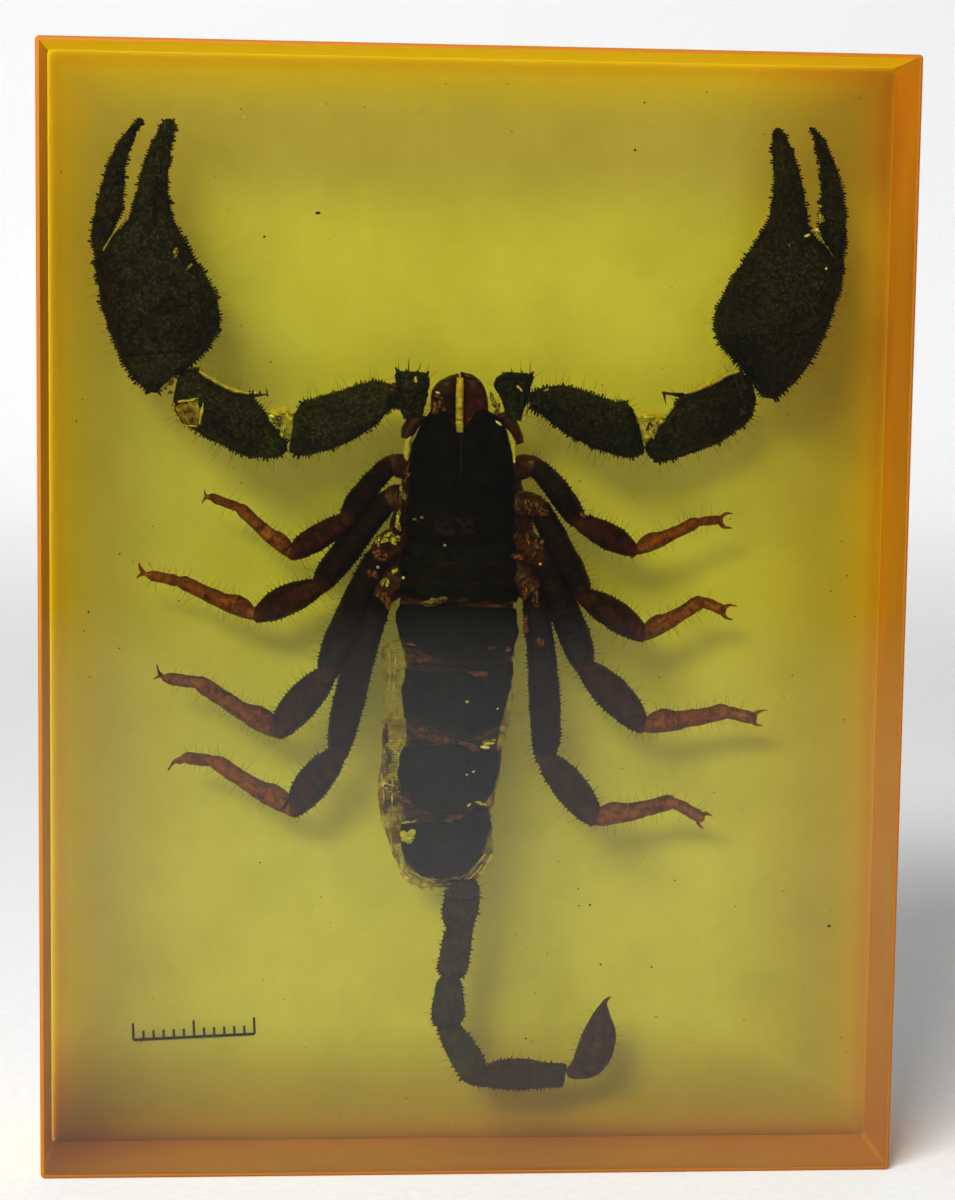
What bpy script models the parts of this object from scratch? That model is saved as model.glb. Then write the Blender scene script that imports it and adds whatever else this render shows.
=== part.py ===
"""A flat dark scorpion, seen from its back, cast in a standing block of amber resin.

The block is parted at the specimen's own plane: a front and a rear half of clear resin, each with
its share of the pocket that the scorpion lies in, and a thin opaque backing behind them. The block
stands on its short edge with its front towards -Y. The origin is at the centre of its foot.

Sizes are in millimetres and become metres where the meshes are made. Places on the specimen are
(x, z) as seen from the front, z from the foot of the block.
"""

import math

import bmesh
import bpy
from mathutils import Vector

MM = 0.001

# The block
WIDTH = 82.0
HEIGHT = 107.0
RESIN_DEPTH = 17.5
BACKING_DEPTH = 1.2
GAP = 0.3
EDGE_RADIUS = 0.4
EDGE_STEPS = 2

# The specimen's pocket
SPECIMEN_DEPTH = 8.75
CLEARANCE = 0.45

# Places through the block, from its front face to its back
DEPTH = RESIN_DEPTH + GAP + BACKING_DEPTH
FRONT_Y = -DEPTH / 2
SPECIMEN_Y = FRONT_Y + SPECIMEN_DEPTH
RESIN_BACK_Y = FRONT_Y + RESIN_DEPTH
BACKING_Y = RESIN_BACK_Y + GAP

# The trunk: z, centre x and half width along it, then the plates' front edges from head to tail
TRUNK_OUTLINE = [
    (72.4, -1.5, 3.2),
    (69.2, -1.4, 4.7),
    (63.0, -1.4, 5.2),
    (55.0, -1.6, 5.8),
    (50.0, -2.3, 6.3),
    (43.0, -2.9, 5.8),
    (36.0, -3.6, 5.2),
    (31.0, -3.2, 4.5),
    (28.0, -2.7, 3.4),
]
PLATE_EDGES = [72.4, 60.6, 58.6, 56.0, 52.4, 48.0, 41.8, 35.0, 28.0]
PLATE_STEP = 0.25
TRUNK_THICKNESS = 0.52

# Front lobes of the head and the two chelicerae: (x, z, half width) along each
HEAD_LOBES = [
    [(-3.2, 69.0, 1.4), (-3.3, 71.6, 1.5), (-3.3, 73.0, 0.8)],
    [(0.4, 69.0, 1.4), (0.4, 71.6, 1.5), (0.5, 73.0, 0.8)],
]
CHELICERAE = [
    [(-3.0, 71.0, 1.3), (-3.1, 74.6, 1.25), (-2.6, 76.6, 0.5)],
    [(-0.1, 71.0, 1.3), (0.0, 74.6, 1.25), (-0.6, 76.6, 0.5)],
]

# The hips' plates under the head, which fill the space between the legs' first joints
HIP_PLATES = [(-1.3, 70.2, 3.4), (-1.3, 68.6, 6.3), (-1.3, 60.0, 6.9), (-1.5, 56.4, 4.6)]
HIP_PLATES_THICKNESS = 0.24
HIP_PLATES_DEPTH = 1.0

# The pincers, joint by joint from the body: (x, z, half width)
LEFT_PINCER = {
    "trochanter": [(-3.5, 71.0, 1.6), (-5.4, 73.8, 2.3), (-7.2, 75.2, 2.0), (-8.6, 74.6, 1.2)],
    "femur": [(-7.6, 74.6, 1.3), (-9.7, 73.9, 2.0), (-12.0, 72.8, 2.5), (-16.6, 71.4, 2.4),
              (-18.0, 70.6, 1.3)],
    "patella": [(-16.9, 69.9, 1.0), (-20.4, 71.0, 2.6), (-24.8, 72.8, 2.9), (-27.2, 74.0, 2.7),
                (-28.8, 75.3, 1.5)],
    "hand": [(-28.4, 74.6, 1.2), (-30.2, 76.8, 2.9), (-29.8, 79.4, 4.5), (-29.9, 82.0, 5.3),
             (-30.6, 85.0, 5.2), (-31.2, 87.4, 4.3), (-31.0, 89.4, 2.8), (-30.8, 91.4, 1.7),
             (-30.5, 94.4, 1.3), (-29.9, 97.4, 0.9), (-29.1, 100.0, 0.3)],
    "moving_finger": [(-33.6, 85.4, 1.6), (-34.9, 88.6, 1.35), (-34.8, 91.6, 1.3), (-34.4, 94.2, 1.0),
                      (-33.5, 96.9, 0.8), (-31.4, 100.3, 0.25)],
}
RIGHT_PINCER = {
    "trochanter": [(0.6, 71.0, 1.6), (2.8, 73.8, 2.3), (4.6, 75.0, 2.0), (6.2, 74.6, 1.2)],
    "femur": [(5.2, 74.5, 1.3), (7.4, 73.8, 1.9), (9.4, 73.0, 2.4), (13.6, 71.7, 2.4), (15.8, 70.8, 1.3)],
    "patella": [(15.0, 69.8, 1.0), (18.8, 71.6, 2.6), (22.8, 73.2, 2.9), (25.0, 74.4, 2.7),
                (27.0, 75.8, 1.5)],
    "hand": [(26.6, 74.8, 1.2), (28.8, 76.8, 2.8), (28.4, 79.4, 4.5), (28.4, 82.0, 5.5), (29.2, 85.0, 5.4),
             (29.9, 87.4, 4.6), (29.7, 89.4, 3.0), (29.6, 91.4, 1.8), (29.7, 94.2, 1.4), (29.2, 97.2, 1.0),
             (28.4, 100.3, 0.3)],
    "moving_finger": [(32.2, 85.4, 1.6), (34.2, 88.6, 1.35), (34.0, 91.4, 1.3), (33.9, 94.2, 1.1),
                      (33.3, 97.1, 0.8), (31.4, 100.5, 0.25)],
}

# The legs from head to tail: hip inside the trunk, then the ends of the first joint, femur,
# patella, tibia and foot
LEFT_LEGS = [
    [(-3.5, 66.5), (-7.9, 68.1), (-12.1, 62.8), (-17.5, 59.3), (-22.5, 63.8), (-25.8, 64.9)],
    [(-3.5, 64.6), (-7.8, 66.4), (-14.7, 56.4), (-20.8, 53.4), (-28.1, 56.7), (-31.9, 57.8)],
    [(-4.0, 61.0), (-9.4, 58.0), (-14.1, 48.0), (-18.7, 42.1), (-26.4, 47.0), (-30.3, 48.0)],
    [(-4.0, 58.5), (-8.6, 56.2), (-12.7, 40.3), (-17.2, 34.5), (-24.9, 39.4), (-28.8, 38.6)],
]
RIGHT_LEGS = [
    [(0.5, 66.0), (5.6, 68.0), (9.9, 62.7), (15.5, 59.9), (21.6, 62.8), (25.0, 63.0)],
    [(0.5, 64.2), (5.9, 65.8), (10.5, 55.7), (16.5, 51.7), (22.2, 55.1), (25.4, 54.2)],
    [(0.8, 60.5), (6.6, 58.0), (10.6, 48.6), (16.5, 42.8), (24.9, 44.3), (28.7, 43.4)],
    [(0.8, 58.0), (5.4, 56.4), (6.9, 39.9), (12.0, 33.6), (19.8, 35.4), (23.4, 33.2)],
]
LEG_HALF_WIDTHS = {"hip": 1.2, "femur": 1.2, "patella": 1.4, "tibia": 0.9, "foot": 0.5, "claw": 0.25}
LEG_STOUTNESS = [0.95, 1.1, 1.2, 1.15]
LEG_ARCH = [0.6, 0.2, -0.7, -0.3, 0.5, 0.9]
LEG_THICKNESS = 0.9

# The tail: ends and half widths of its five segments, then the sting
TAIL = [
    [(-1.3, 29.6, 1.3), (-0.8, 26.4, 1.75), (-0.8, 23.6, 1.55), (-0.9, 22.0, 0.95)],
    [(-0.9, 23.2, 1.0), (-1.0, 21.4, 1.45), (-1.6, 18.9, 1.6), (-1.8, 17.0, 0.9)],
    [(-1.7, 18.2, 0.9), (-1.9, 16.6, 1.45), (-2.0, 14.4, 1.65), (-2.0, 12.4, 1.0)],
    [(-2.1, 13.6, 0.9), (-1.4, 11.8, 1.5), (0.1, 9.6, 1.6), (1.8, 8.0, 1.0)],
    [(0.6, 8.8, 0.9), (2.8, 8.3, 1.5), (6.2, 8.2, 1.6), (9.0, 8.1, 1.45), (10.6, 8.1, 0.9)],
]
STING = [(9.6, 7.9, 0.8), (11.6, 9.0, 1.6), (12.9, 11.0, 1.75), (13.1, 13.0, 1.1), (13.2, 14.6, 0.55),
         (14.1, 16.0, 0.2)]

# Facets round each kind of piece
TRUNK_SIDES = 14
PINCER_SIDES = 8
TAIL_SIDES = 8
LEG_SIDES = 6

# The look of the solids: colour, roughness, transmission
RESIN_LOOK = ((0.62, 0.36, 0.03), 0.05, 1.0)
BACKING_LOOK = ((0.78, 0.76, 0.66), 0.7, 0.0)
SCORPION_LOOK = ((0.018, 0.015, 0.011), 0.4, 0.0)


def make_material(name, look):
    colour, roughness, transmission = look
    material = bpy.data.materials.new(name)
    material.use_nodes = True
    shader = material.node_tree.nodes["Principled BSDF"]
    shader.inputs["Base Color"].default_value = (*colour, 1.0)
    shader.inputs["Roughness"].default_value = roughness
    shader.inputs["Transmission Weight"].default_value = transmission
    return material


def add_object(name, mesh, material=None, collection=None):
    thing = bpy.data.objects.new(name, mesh)
    (collection or bpy.context.scene.collection).objects.link(thing)
    if material:
        mesh.materials.append(material)
    return thing


def mesh_from(name, build, smooth_angle=None):
    """A mesh in metres from a function that fills a bmesh in millimetres."""
    shape = bmesh.new()
    build(shape)
    bmesh.ops.recalc_face_normals(shape, faces=shape.faces)
    bmesh.ops.scale(shape, vec=(MM, MM, MM), verts=shape.verts)
    mesh = bpy.data.meshes.new(name)
    shape.to_mesh(mesh)
    shape.free()
    if smooth_angle:
        mesh.shade_smooth()
        mesh.set_sharp_from_angle(angle=smooth_angle)
    return mesh


# ---------------------------------------------------------------- the block

def block_slice(name, near_y, far_y, material):
    """The part of the whole round-edged block between two planes across its depth."""

    def build(shape):
        bmesh.ops.create_cube(shape, size=1.0)
        bmesh.ops.scale(shape, vec=(WIDTH, DEPTH, HEIGHT), verts=shape.verts)
        bmesh.ops.translate(shape, vec=(0, 0, HEIGHT / 2), verts=shape.verts)
        bmesh.ops.bevel(shape, geom=shape.edges[:], offset=EDGE_RADIUS, segments=EDGE_STEPS,
                        profile=0.5, affect="EDGES")
        for plane_y, outward in ((near_y, -1), (far_y, 1)):
            if abs(plane_y) > DEPTH / 2 - EDGE_RADIUS:
                continue
            everything = shape.verts[:] + shape.edges[:] + shape.faces[:]
            cut = bmesh.ops.bisect_plane(shape, geom=everything, plane_co=(0, plane_y, 0),
                                         plane_no=(0, outward, 0), clear_outer=True)
            rim = [item for item in cut["geom_cut"] if isinstance(item, bmesh.types.BMEdge)]
            bmesh.ops.holes_fill(shape, edges=rim)

    return add_object(name, mesh_from(name, build), material)


# ------------------------------------------------------------- the specimen

def ring(shape, centre, across, half_width, half_depth, sides):
    """One elliptical section; its flat-on half width runs along the direction across."""
    turns = [2 * math.pi * step / sides for step in range(sides)]
    return [shape.verts.new(centre + across * (half_width * math.cos(turn))
                            + Vector((0, half_depth * math.sin(turn), 0))) for turn in turns]


def loft(shape, sections, sides):
    """A closed tube through sections of (centre, half width, half depth)."""
    rings = []
    for place, (centre, half_width, half_depth) in enumerate(sections):
        before = sections[max(place - 1, 0)][0]
        after = sections[min(place + 1, len(sections) - 1)][0]
        along = (after - before).normalized()
        across = Vector((along.z, 0, -along.x)).normalized()
        rings.append(ring(shape, centre, across, half_width, half_depth, sides))
    for near, far in zip(rings, rings[1:]):
        for side in range(sides):
            turned = (side + 1) % sides
            shape.faces.new((near[side], near[turned], far[turned], far[side]))
    shape.faces.new(rings[0][::-1])
    shape.faces.new(rings[-1])


def limb_sections(stations, thickness, grow, depths=None):
    """Sections from (x, z, half width) stations; grow swells them and lengthens both ends."""
    depths = depths or [0.0] * len(stations)
    sections = [[Vector((x, SPECIMEN_Y + depth, z)), half_width + grow, half_width * thickness + grow]
                for (x, z, half_width), depth in zip(stations, depths)]
    for end, inner in ((0, 1), (-1, -2)):
        outwards = sections[end][0] - sections[inner][0]
        sections[end][0] = sections[end][0] + outwards.normalized() * grow
    return sections


def outline_at(z):
    """Centre x and half width of the trunk at a height."""
    for (top, top_x, top_half), (low, low_x, low_half) in zip(TRUNK_OUTLINE, TRUNK_OUTLINE[1:]):
        if z >= low:
            share = (top - z) / (top - low)
            return top_x + (low_x - top_x) * share, top_half + (low_half - top_half) * share
    return TRUNK_OUTLINE[-1][1:]


def trunk_stations():
    """Every plate of the back flares to its rear edge and steps down to the next."""
    stations = []
    for front, rear in zip(PLATE_EDGES, PLATE_EDGES[1:]):
        middle = (front + rear) / 2
        for z, flare in ((front - 0.01, -PLATE_STEP), (middle, 0.0), (rear + PLATE_STEP, PLATE_STEP / 2)):
            x, half_width = outline_at(z)
            stations.append((x, z, half_width + flare))
    return stations


def leg_stations(joints, stoutness):
    """Stations along a leg: each joint is narrow, and each segment is widest before its middle."""
    sizes = [half_width * stoutness for half_width in LEG_HALF_WIDTHS.values()]
    stations = []
    depths = []
    for place, (x, z) in enumerate(joints):
        at_joint = sizes[place] * 0.85
        stations.append((x, z, at_joint))
        depths.append(LEG_ARCH[place])
        if 0 < place < len(joints) - 1:
            next_x, next_z = joints[place + 1]
            stations.append((x * 0.6 + next_x * 0.4, z * 0.6 + next_z * 0.4, sizes[place]))
            depths.append(LEG_ARCH[place] * 0.6 + LEG_ARCH[place + 1] * 0.4)
    return stations, depths


def specimen_pieces():
    """Every piece of the scorpion as (stations, thickness, depths, sides), the trunk first."""
    pieces = [(trunk_stations(), TRUNK_THICKNESS, None, TRUNK_SIDES)]
    hip_depths = [HIP_PLATES_DEPTH] * len(HIP_PLATES)
    pieces.append((HIP_PLATES, HIP_PLATES_THICKNESS, hip_depths, PINCER_SIDES))
    for stations in HEAD_LOBES + CHELICERAE:
        pieces.append((stations, 1.0, None, LEG_SIDES))
    for pincer in (LEFT_PINCER, RIGHT_PINCER):
        for name, stations in pincer.items():
            thickness = {"hand": 0.55, "moving_finger": 0.9}.get(name, 0.75)
            pieces.append((stations, thickness, None, PINCER_SIDES))
    for legs in (LEFT_LEGS, RIGHT_LEGS):
        for joints, stoutness in zip(legs, LEG_STOUTNESS):
            stations, depths = leg_stations(joints, stoutness)
            pieces.append((stations, LEG_THICKNESS, depths, LEG_SIDES))
    for stations in TAIL + [STING]:
        pieces.append((stations, 0.9, None, TAIL_SIDES))
    return pieces


def scorpion_solid(name, grow, material=None):
    """The whole animal as one solid. Grown by the clearance, it is the shape of its pocket."""
    parts = bpy.data.collections.new(name + "_parts")
    bpy.context.scene.collection.children.link(parts)
    parts.hide_render = True
    trunk, *others = specimen_pieces()

    def piece_mesh(label, piece):
        stations, thickness, depths, sides = piece
        sections = limb_sections(stations, thickness, grow, depths)
        return mesh_from(label, lambda shape: loft(shape, sections, sides), math.radians(50))

    for number, piece in enumerate(others):
        label = f"{name}_part_{number:02d}"
        part = add_object(label, piece_mesh(label, piece), collection=parts)
        part.hide_render = True
        part.display_type = "WIRE"
    body = add_object(name, piece_mesh(name, trunk), material)
    union = body.modifiers.new("joined_parts", "BOOLEAN")
    union.operation = "UNION"
    union.solver = "EXACT"
    union.operand_type = "COLLECTION"
    union.collection = parts
    return body


def cut_pocket(half, pocket):
    """The manifold solver, because the exact one loses this half; both meshes here are closed."""
    cut = half.modifiers.new("specimen_pocket", "BOOLEAN")
    cut.operation = "DIFFERENCE"
    cut.solver = "MANIFOLD"
    cut.object = pocket


def build_model():
    for thing in list(bpy.data.objects):
        bpy.data.objects.remove(thing, do_unlink=True)
    resin = make_material("amber_resin", RESIN_LOOK)
    backing = make_material("backing", BACKING_LOOK)
    shell = make_material("scorpion_shell", SCORPION_LOOK)

    front = block_slice("resin_front", FRONT_Y, SPECIMEN_Y - GAP / 2, resin)
    back = block_slice("resin_back", SPECIMEN_Y + GAP / 2, RESIN_BACK_Y, resin)
    block_slice("backing", BACKING_Y, DEPTH / 2, backing)
    scorpion_solid("scorpion", 0.0, shell)
    pocket = scorpion_solid("pocket_cutter", CLEARANCE)
    pocket.hide_render = True
    pocket.display_type = "WIRE"
    for half in (front, back):
        cut_pocket(half, pocket)


build_model()
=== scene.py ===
"""The looks of a flat dark scorpion cast in a standing block of amber resin.

Sizes are in millimetres and become metres where a piece is finished. Places on the specimen are
(x, z) as seen from the front, z from the foot of the block, and y runs away from the viewer.
"""

import math
import random

import bmesh
import bpy
from mathutils import Matrix, Vector, noise


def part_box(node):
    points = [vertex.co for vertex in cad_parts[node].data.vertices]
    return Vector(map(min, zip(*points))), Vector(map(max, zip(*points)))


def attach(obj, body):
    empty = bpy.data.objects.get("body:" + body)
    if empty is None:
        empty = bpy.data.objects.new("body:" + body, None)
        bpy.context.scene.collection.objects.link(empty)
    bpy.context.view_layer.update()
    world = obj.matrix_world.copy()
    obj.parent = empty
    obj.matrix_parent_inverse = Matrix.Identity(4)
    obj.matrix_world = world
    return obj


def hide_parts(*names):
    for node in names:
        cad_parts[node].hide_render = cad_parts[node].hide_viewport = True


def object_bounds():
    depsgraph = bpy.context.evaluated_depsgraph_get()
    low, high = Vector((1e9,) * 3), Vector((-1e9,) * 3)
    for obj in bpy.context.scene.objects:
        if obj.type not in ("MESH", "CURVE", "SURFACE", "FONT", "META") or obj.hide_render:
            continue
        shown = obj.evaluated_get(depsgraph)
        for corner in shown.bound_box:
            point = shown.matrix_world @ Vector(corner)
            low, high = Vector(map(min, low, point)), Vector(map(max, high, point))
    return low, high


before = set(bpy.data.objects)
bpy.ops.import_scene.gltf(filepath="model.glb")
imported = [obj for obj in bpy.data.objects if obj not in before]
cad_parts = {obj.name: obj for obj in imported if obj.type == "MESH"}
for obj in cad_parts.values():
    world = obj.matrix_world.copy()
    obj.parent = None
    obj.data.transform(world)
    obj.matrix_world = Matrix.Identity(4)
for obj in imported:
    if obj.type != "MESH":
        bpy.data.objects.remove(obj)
cad_low, cad_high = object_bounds()

MM = 0.001


# ------------------------------------------------------------------ camera
# Stands 0.23 m in front of the block, a little left of its middle and three quarters of the way up
# it, and looks slightly down. The frame is 955 wide and 1200 high, so the lens fits the height.
CAMERA_PLACE = (-16.75, -240.2, 79.7)
CAMERA_LENS = 74.2
SENSOR = 36.0
LOOKS_RIGHT = math.radians(4.15)
LOOKS_DOWN = math.radians(5.93)
ROLL = math.radians(0.77)

camera_data = bpy.data.cameras.new("camera")
camera_data.lens = CAMERA_LENS
camera_data.sensor_width = SENSOR
camera_data.clip_start = 0.01
camera_data.clip_end = 20.0
camera = bpy.data.objects.new("camera", camera_data)
camera.matrix_world = (Matrix.Translation(Vector(CAMERA_PLACE) * MM)
                       @ Matrix.Rotation(-LOOKS_RIGHT, 4, "Z")
                       @ Matrix.Rotation(math.pi / 2 - LOOKS_DOWN, 4, "X")
                       @ Matrix.Rotation(ROLL, 4, "Z"))
bpy.context.scene.collection.objects.link(camera)
bpy.context.scene.camera = camera
bpy.context.scene.view_settings.view_transform = "Standard"


# ------------------------------------------------------- floor and daylight
# A sheet of pale matt paper lies under the block and curves up into a backdrop 0.95 m behind it.
# A softbox stands high in front at the left and another lights the backdrop. The room is brightest
# just above eye level and at the left.
FLOOR_HALF_WIDTH = 2200.0
FLOOR_FRONT = -1800.0
FLOOR_GAP = 0.03
BACKDROP_Y = 950.0
BACKDROP_HEIGHT = 1600.0
COVE_RADIUS = 160.0
KEY_LIGHT = {
    "place": (-450.0, -660.0, 610.0), "at": (0.0, 0.0, 53.0), "size": (580.0, 200.0), "watts": 12.0,
}
BACKDROP_LIGHT = {
    "place": (0.0, 520.0, 800.0), "at": (0.0, 860.0, 0.0), "size": (1500.0, 300.0), "watts": 0.9,
    "spread": 80,
}
SURROUND_STOPS = [
    (0.0, "#5A5A5A"), (0.47, "#8C8C8C"), (0.56, "#E6E6E6"), (0.68, "#E0E0E0"), (0.82, "#A0A0A0"),
    (1.0, "#9A9A9A"),
]
SURROUND_BEHIND = 0.3
SURROUND_LEFT = 1.6
SURROUND_RIGHT = 0.42
FLAG_DISTANCE = 160.0
FLAG_SIZE = (420.0, 210.0)
FLAG_FADE = 45.0


def linear(hex_colour):
    """An sRGB hex colour as the linear RGBA that shaders work in."""
    channels = [int(hex_colour[at:at + 2], 16) / 255 for at in (1, 3, 5)]
    return (*[c / 12.92 if c <= 0.04045 else ((c + 0.055) / 1.055) ** 2.4 for c in channels], 1.0)


def feed(node, inputs):
    """Gives a node its inputs: values, or sockets or nodes to link, where a node is its first output."""
    for name, value in inputs.items():
        value = value.outputs[0] if isinstance(value, bpy.types.Node) else value
        if isinstance(value, bpy.types.NodeSocket):
            node.id_data.links.new(value, node.inputs[name])
        else:
            node.inputs[name].default_value = value


def add_node(tree, kind, inputs=None, stops=(), **settings):
    """A shader node with its settings, its inputs and the stops of its colour ramp."""
    made = tree.nodes.new("ShaderNode" + kind)
    for name, value in settings.items():
        setattr(made, name, value)
    feed(made, inputs or {})
    for count, (position, colour) in enumerate(stops):
        ramp = made.color_ramp.elements
        stop = ramp[count] if count < 2 else ramp.new(position)
        stop.position = position
        stop.color = linear(colour)
    return made


def new_material(name, **plain):
    """A material, its node tree, its shader with the inputs that are the same all over, and its places."""
    material = bpy.data.materials.new(name)
    material.use_nodes = True
    shader = material.node_tree.nodes["Principled BSDF"]
    for words, value in plain.items():
        shader.inputs[words.replace("_", " ").title().replace("Ior", "IOR")].default_value = value
    tree = material.node_tree
    return material, tree, shader, add_node(tree, "TexCoord").outputs["Object"]


def speckled(name, scale, stops, **plain):
    """A material whose colour varies in specks, of which a metre holds as many as scale."""
    material, tree, shader, where = new_material(name, **plain)
    specks = add_node(tree, "TexNoise", {"Vector": where, "Scale": scale})
    feed(shader, {"Base Color": add_node(tree, "ValToRGB", {"Fac": specks}, stops)})
    return material


def object_from(name, shape, materials):
    """A finished object in metres from a bmesh in millimetres."""
    bmesh.ops.scale(shape, vec=(MM, MM, MM), verts=shape.verts)
    mesh = bpy.data.meshes.new(name)
    shape.to_mesh(mesh)
    shape.free()
    for material in materials:
        mesh.materials.append(material)
    thing = bpy.data.objects.new(name, mesh)
    bpy.context.scene.collection.objects.link(thing)
    return thing


# Matt paper: it scatters evenly, with a tooth of about 1 mm that only shows close by.
paper = speckled("matt_paper", 1000.0, [(0.3, "#EAEAEA"), (0.7, "#F0F0F0")], roughness=0.9,
                 specular_ior_level=0.2)

sweep = bmesh.new()
near = [sweep.verts.new((side * FLOOR_HALF_WIDTH, FLOOR_FRONT, -FLOOR_GAP)) for side in (-1, 1)]
edge = sweep.edges.new(near)
for step in ((0, BACKDROP_Y - FLOOR_FRONT, 0), (0, 0, BACKDROP_HEIGHT)):
    grown = bmesh.ops.extrude_edge_only(sweep, edges=[edge])["geom"]
    edge = [item for item in grown if isinstance(item, bmesh.types.BMEdge)
            and all(end in grown for end in item.verts)][0]
    bmesh.ops.translate(sweep, vec=step, verts=edge.verts)
fold = [item for item in sweep.edges if len(item.link_faces) == 2]
bmesh.ops.bevel(sweep, geom=fold, offset=COVE_RADIUS, segments=12, profile=0.5, affect="EDGES", material=-1)
bmesh.ops.recalc_face_normals(sweep, faces=sweep.faces)
floor = object_from("floor", sweep, [paper])
floor.data.shade_smooth()

# A dark grey flag stands in front of the block, and only the gloss of the resin sees it. It stands
# for the dim far side of the room, and thins out below 45 mm, where the face mirrors the pale floor.
dark, tree, shader, where = new_material("dark_flag", roughness=1.0, specular_ior_level=0.0)
weave = add_node(tree, "TexNoise", {"Vector": where, "Scale": 400.0})
tint = add_node(tree, "ValToRGB", {"Fac": weave}, [(0.3, "#505050"), (0.7, "#5A5A5A")])
place = add_node(tree, "SeparateXYZ", {"Vector": where})
rising = add_node(tree, "MapRange", {"Value": place.outputs["Z"], "From Max": FLAG_FADE * MM})
thick = add_node(tree, "ValToRGB", {"Fac": rising}, [(0.0, "#606060"), (0.3, "#909090"), (0.6, "#C8C8C8"),
                                                     (0.85, "#FFFFFF")])
feed(shader, {"Base Color": linear("#141414"), "Emission Color": tint, "Emission Strength": 1.0,
              "Alpha": thick})
card = bmesh.new()
bmesh.ops.create_grid(card, x_segments=1, y_segments=1, size=0.5)
bmesh.ops.scale(card, vec=(*FLAG_SIZE, 1), verts=card.verts)
bmesh.ops.rotate(card, cent=(0, 0, 0), matrix=Matrix.Rotation(-math.pi / 2, 3, "X"), verts=card.verts)
bmesh.ops.translate(card, vec=(0, cad_low.y / MM - FLAG_DISTANCE, FLAG_SIZE[1] / 2), verts=card.verts)
flag = object_from("dark_flag", card, [dark])
for ray in ("camera", "diffuse", "transmission", "shadow", "volume_scatter"):
    setattr(flag, "visible_" + ray, False)


def softbox(name, place, at, size, watts, spread=180):
    """A rectangular light that faces a given place and also shines into clear pieces."""
    lamp = bpy.data.lights.new(name, "AREA")
    lamp.shape = "RECTANGLE"
    lamp.size = size[0] * MM
    lamp.size_y = size[1] * MM
    lamp.energy = watts
    lamp.spread = math.radians(spread)
    lamp.cycles.is_caustics_light = True
    thing = bpy.data.objects.new(name, lamp)
    thing.location = Vector(place) * MM
    aim = Vector(at) * MM - thing.location
    thing.rotation_euler = aim.to_track_quat("-Z", "Y").to_euler()
    bpy.context.scene.collection.objects.link(thing)


softbox("key_light", **KEY_LIGHT)
softbox("backdrop_light", **BACKDROP_LIGHT)

world = bpy.data.worlds.new("surround")
bpy.context.scene.world = world
world.use_nodes = True
tree = world.node_tree
way = add_node(tree, "TexCoord")
parts = add_node(tree, "SeparateXYZ", {"Vector": way.outputs["Generated"]})
height = add_node(tree, "MapRange", {"Value": parts.outputs["Z"], "From Min": -1.0})
sky = add_node(tree, "ValToRGB", {"Fac": height}, SURROUND_STOPS)
facing = add_node(tree, "MapRange", {"Value": parts.outputs["Y"], "From Min": -0.3, "From Max": 0.4,
                                     "To Min": 1.0, "To Max": SURROUND_BEHIND})
beside = add_node(tree, "MapRange", {"Value": parts.outputs["X"], "From Min": 0.6, "From Max": -0.9,
                                     "To Min": SURROUND_RIGHT, "To Max": SURROUND_LEFT})
bright = add_node(tree, "Math", {0: facing, 1: beside}, operation="MULTIPLY")
feed(tree.nodes["Background"], {"Color": sky, "Strength": bright})


# ------------------------------------------------------------- resin block
# One casting of clear polyester resin, tinted amber right through and aged, which holds the
# specimen in its middle. The front is polished, and the four sawn sides are only sanded, so they
# are satin and orange, with an orange glow painted on them. The back is bonded to the backing board.
resin_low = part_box("resin_front")[0] / MM
resin_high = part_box("resin_back")[1] / MM
backing_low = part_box("backing")[0] / MM
BLOCK_SIZE = Vector((resin_high.x - resin_low.x, resin_high.y - resin_low.y, resin_high.z - resin_low.z))
BOND = 0.05
RIM_RADIUS = 0.4
CUT_OFF = 10.0
CHAMFER = 0.06
FLAT_AREA = 100.0
RESIN_IOR = 1.54
# How far behind the face the brown of the front edge fades, where the painted glow of the sides
# starts and is full, and how far below the top its own painted glow starts and is full
BROWN_FRONT_EDGE = (0.9, 0.3)
PAINTED_GLOW_BEHIND = (0.4, 2.5)
PAINTED_TOP_GLOW = (0.7, 0.1)
# The resin takes away blue only: about a fifth of it in 5 mm
RESIN_TINT = "#FFFF45"
RESIN_DENSITY = 50.0


def resin(name, **plain):
    """Amber resin with one finish. The tint is in its depth, so it is the same for every finish."""
    material, tree, shader, where = new_material(name, transmission_weight=1.0, ior=RESIN_IOR, **plain)
    depth = add_node(tree, "VolumeAbsorption", {"Color": linear(RESIN_TINT), "Density": RESIN_DENSITY})
    feed(tree.nodes["Material Output"], {"Volume": depth})
    return material, tree, shader, where


# Polished resin: a clear wet gloss with the faint haze of old polishing marks, 0.3 mm apart.
polished, tree, shader, where = resin("polished_amber_resin")
marks = add_node(tree, "TexNoise", {"Vector": where, "Scale": 3300.0, "Detail": 3.0})
haze = add_node(tree, "MapRange", {"Value": marks, "From Min": 0.35, "From Max": 0.75, "To Min": 0.025,
                                   "To Max": 0.05})
feed(shader, {"Roughness": haze})
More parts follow.
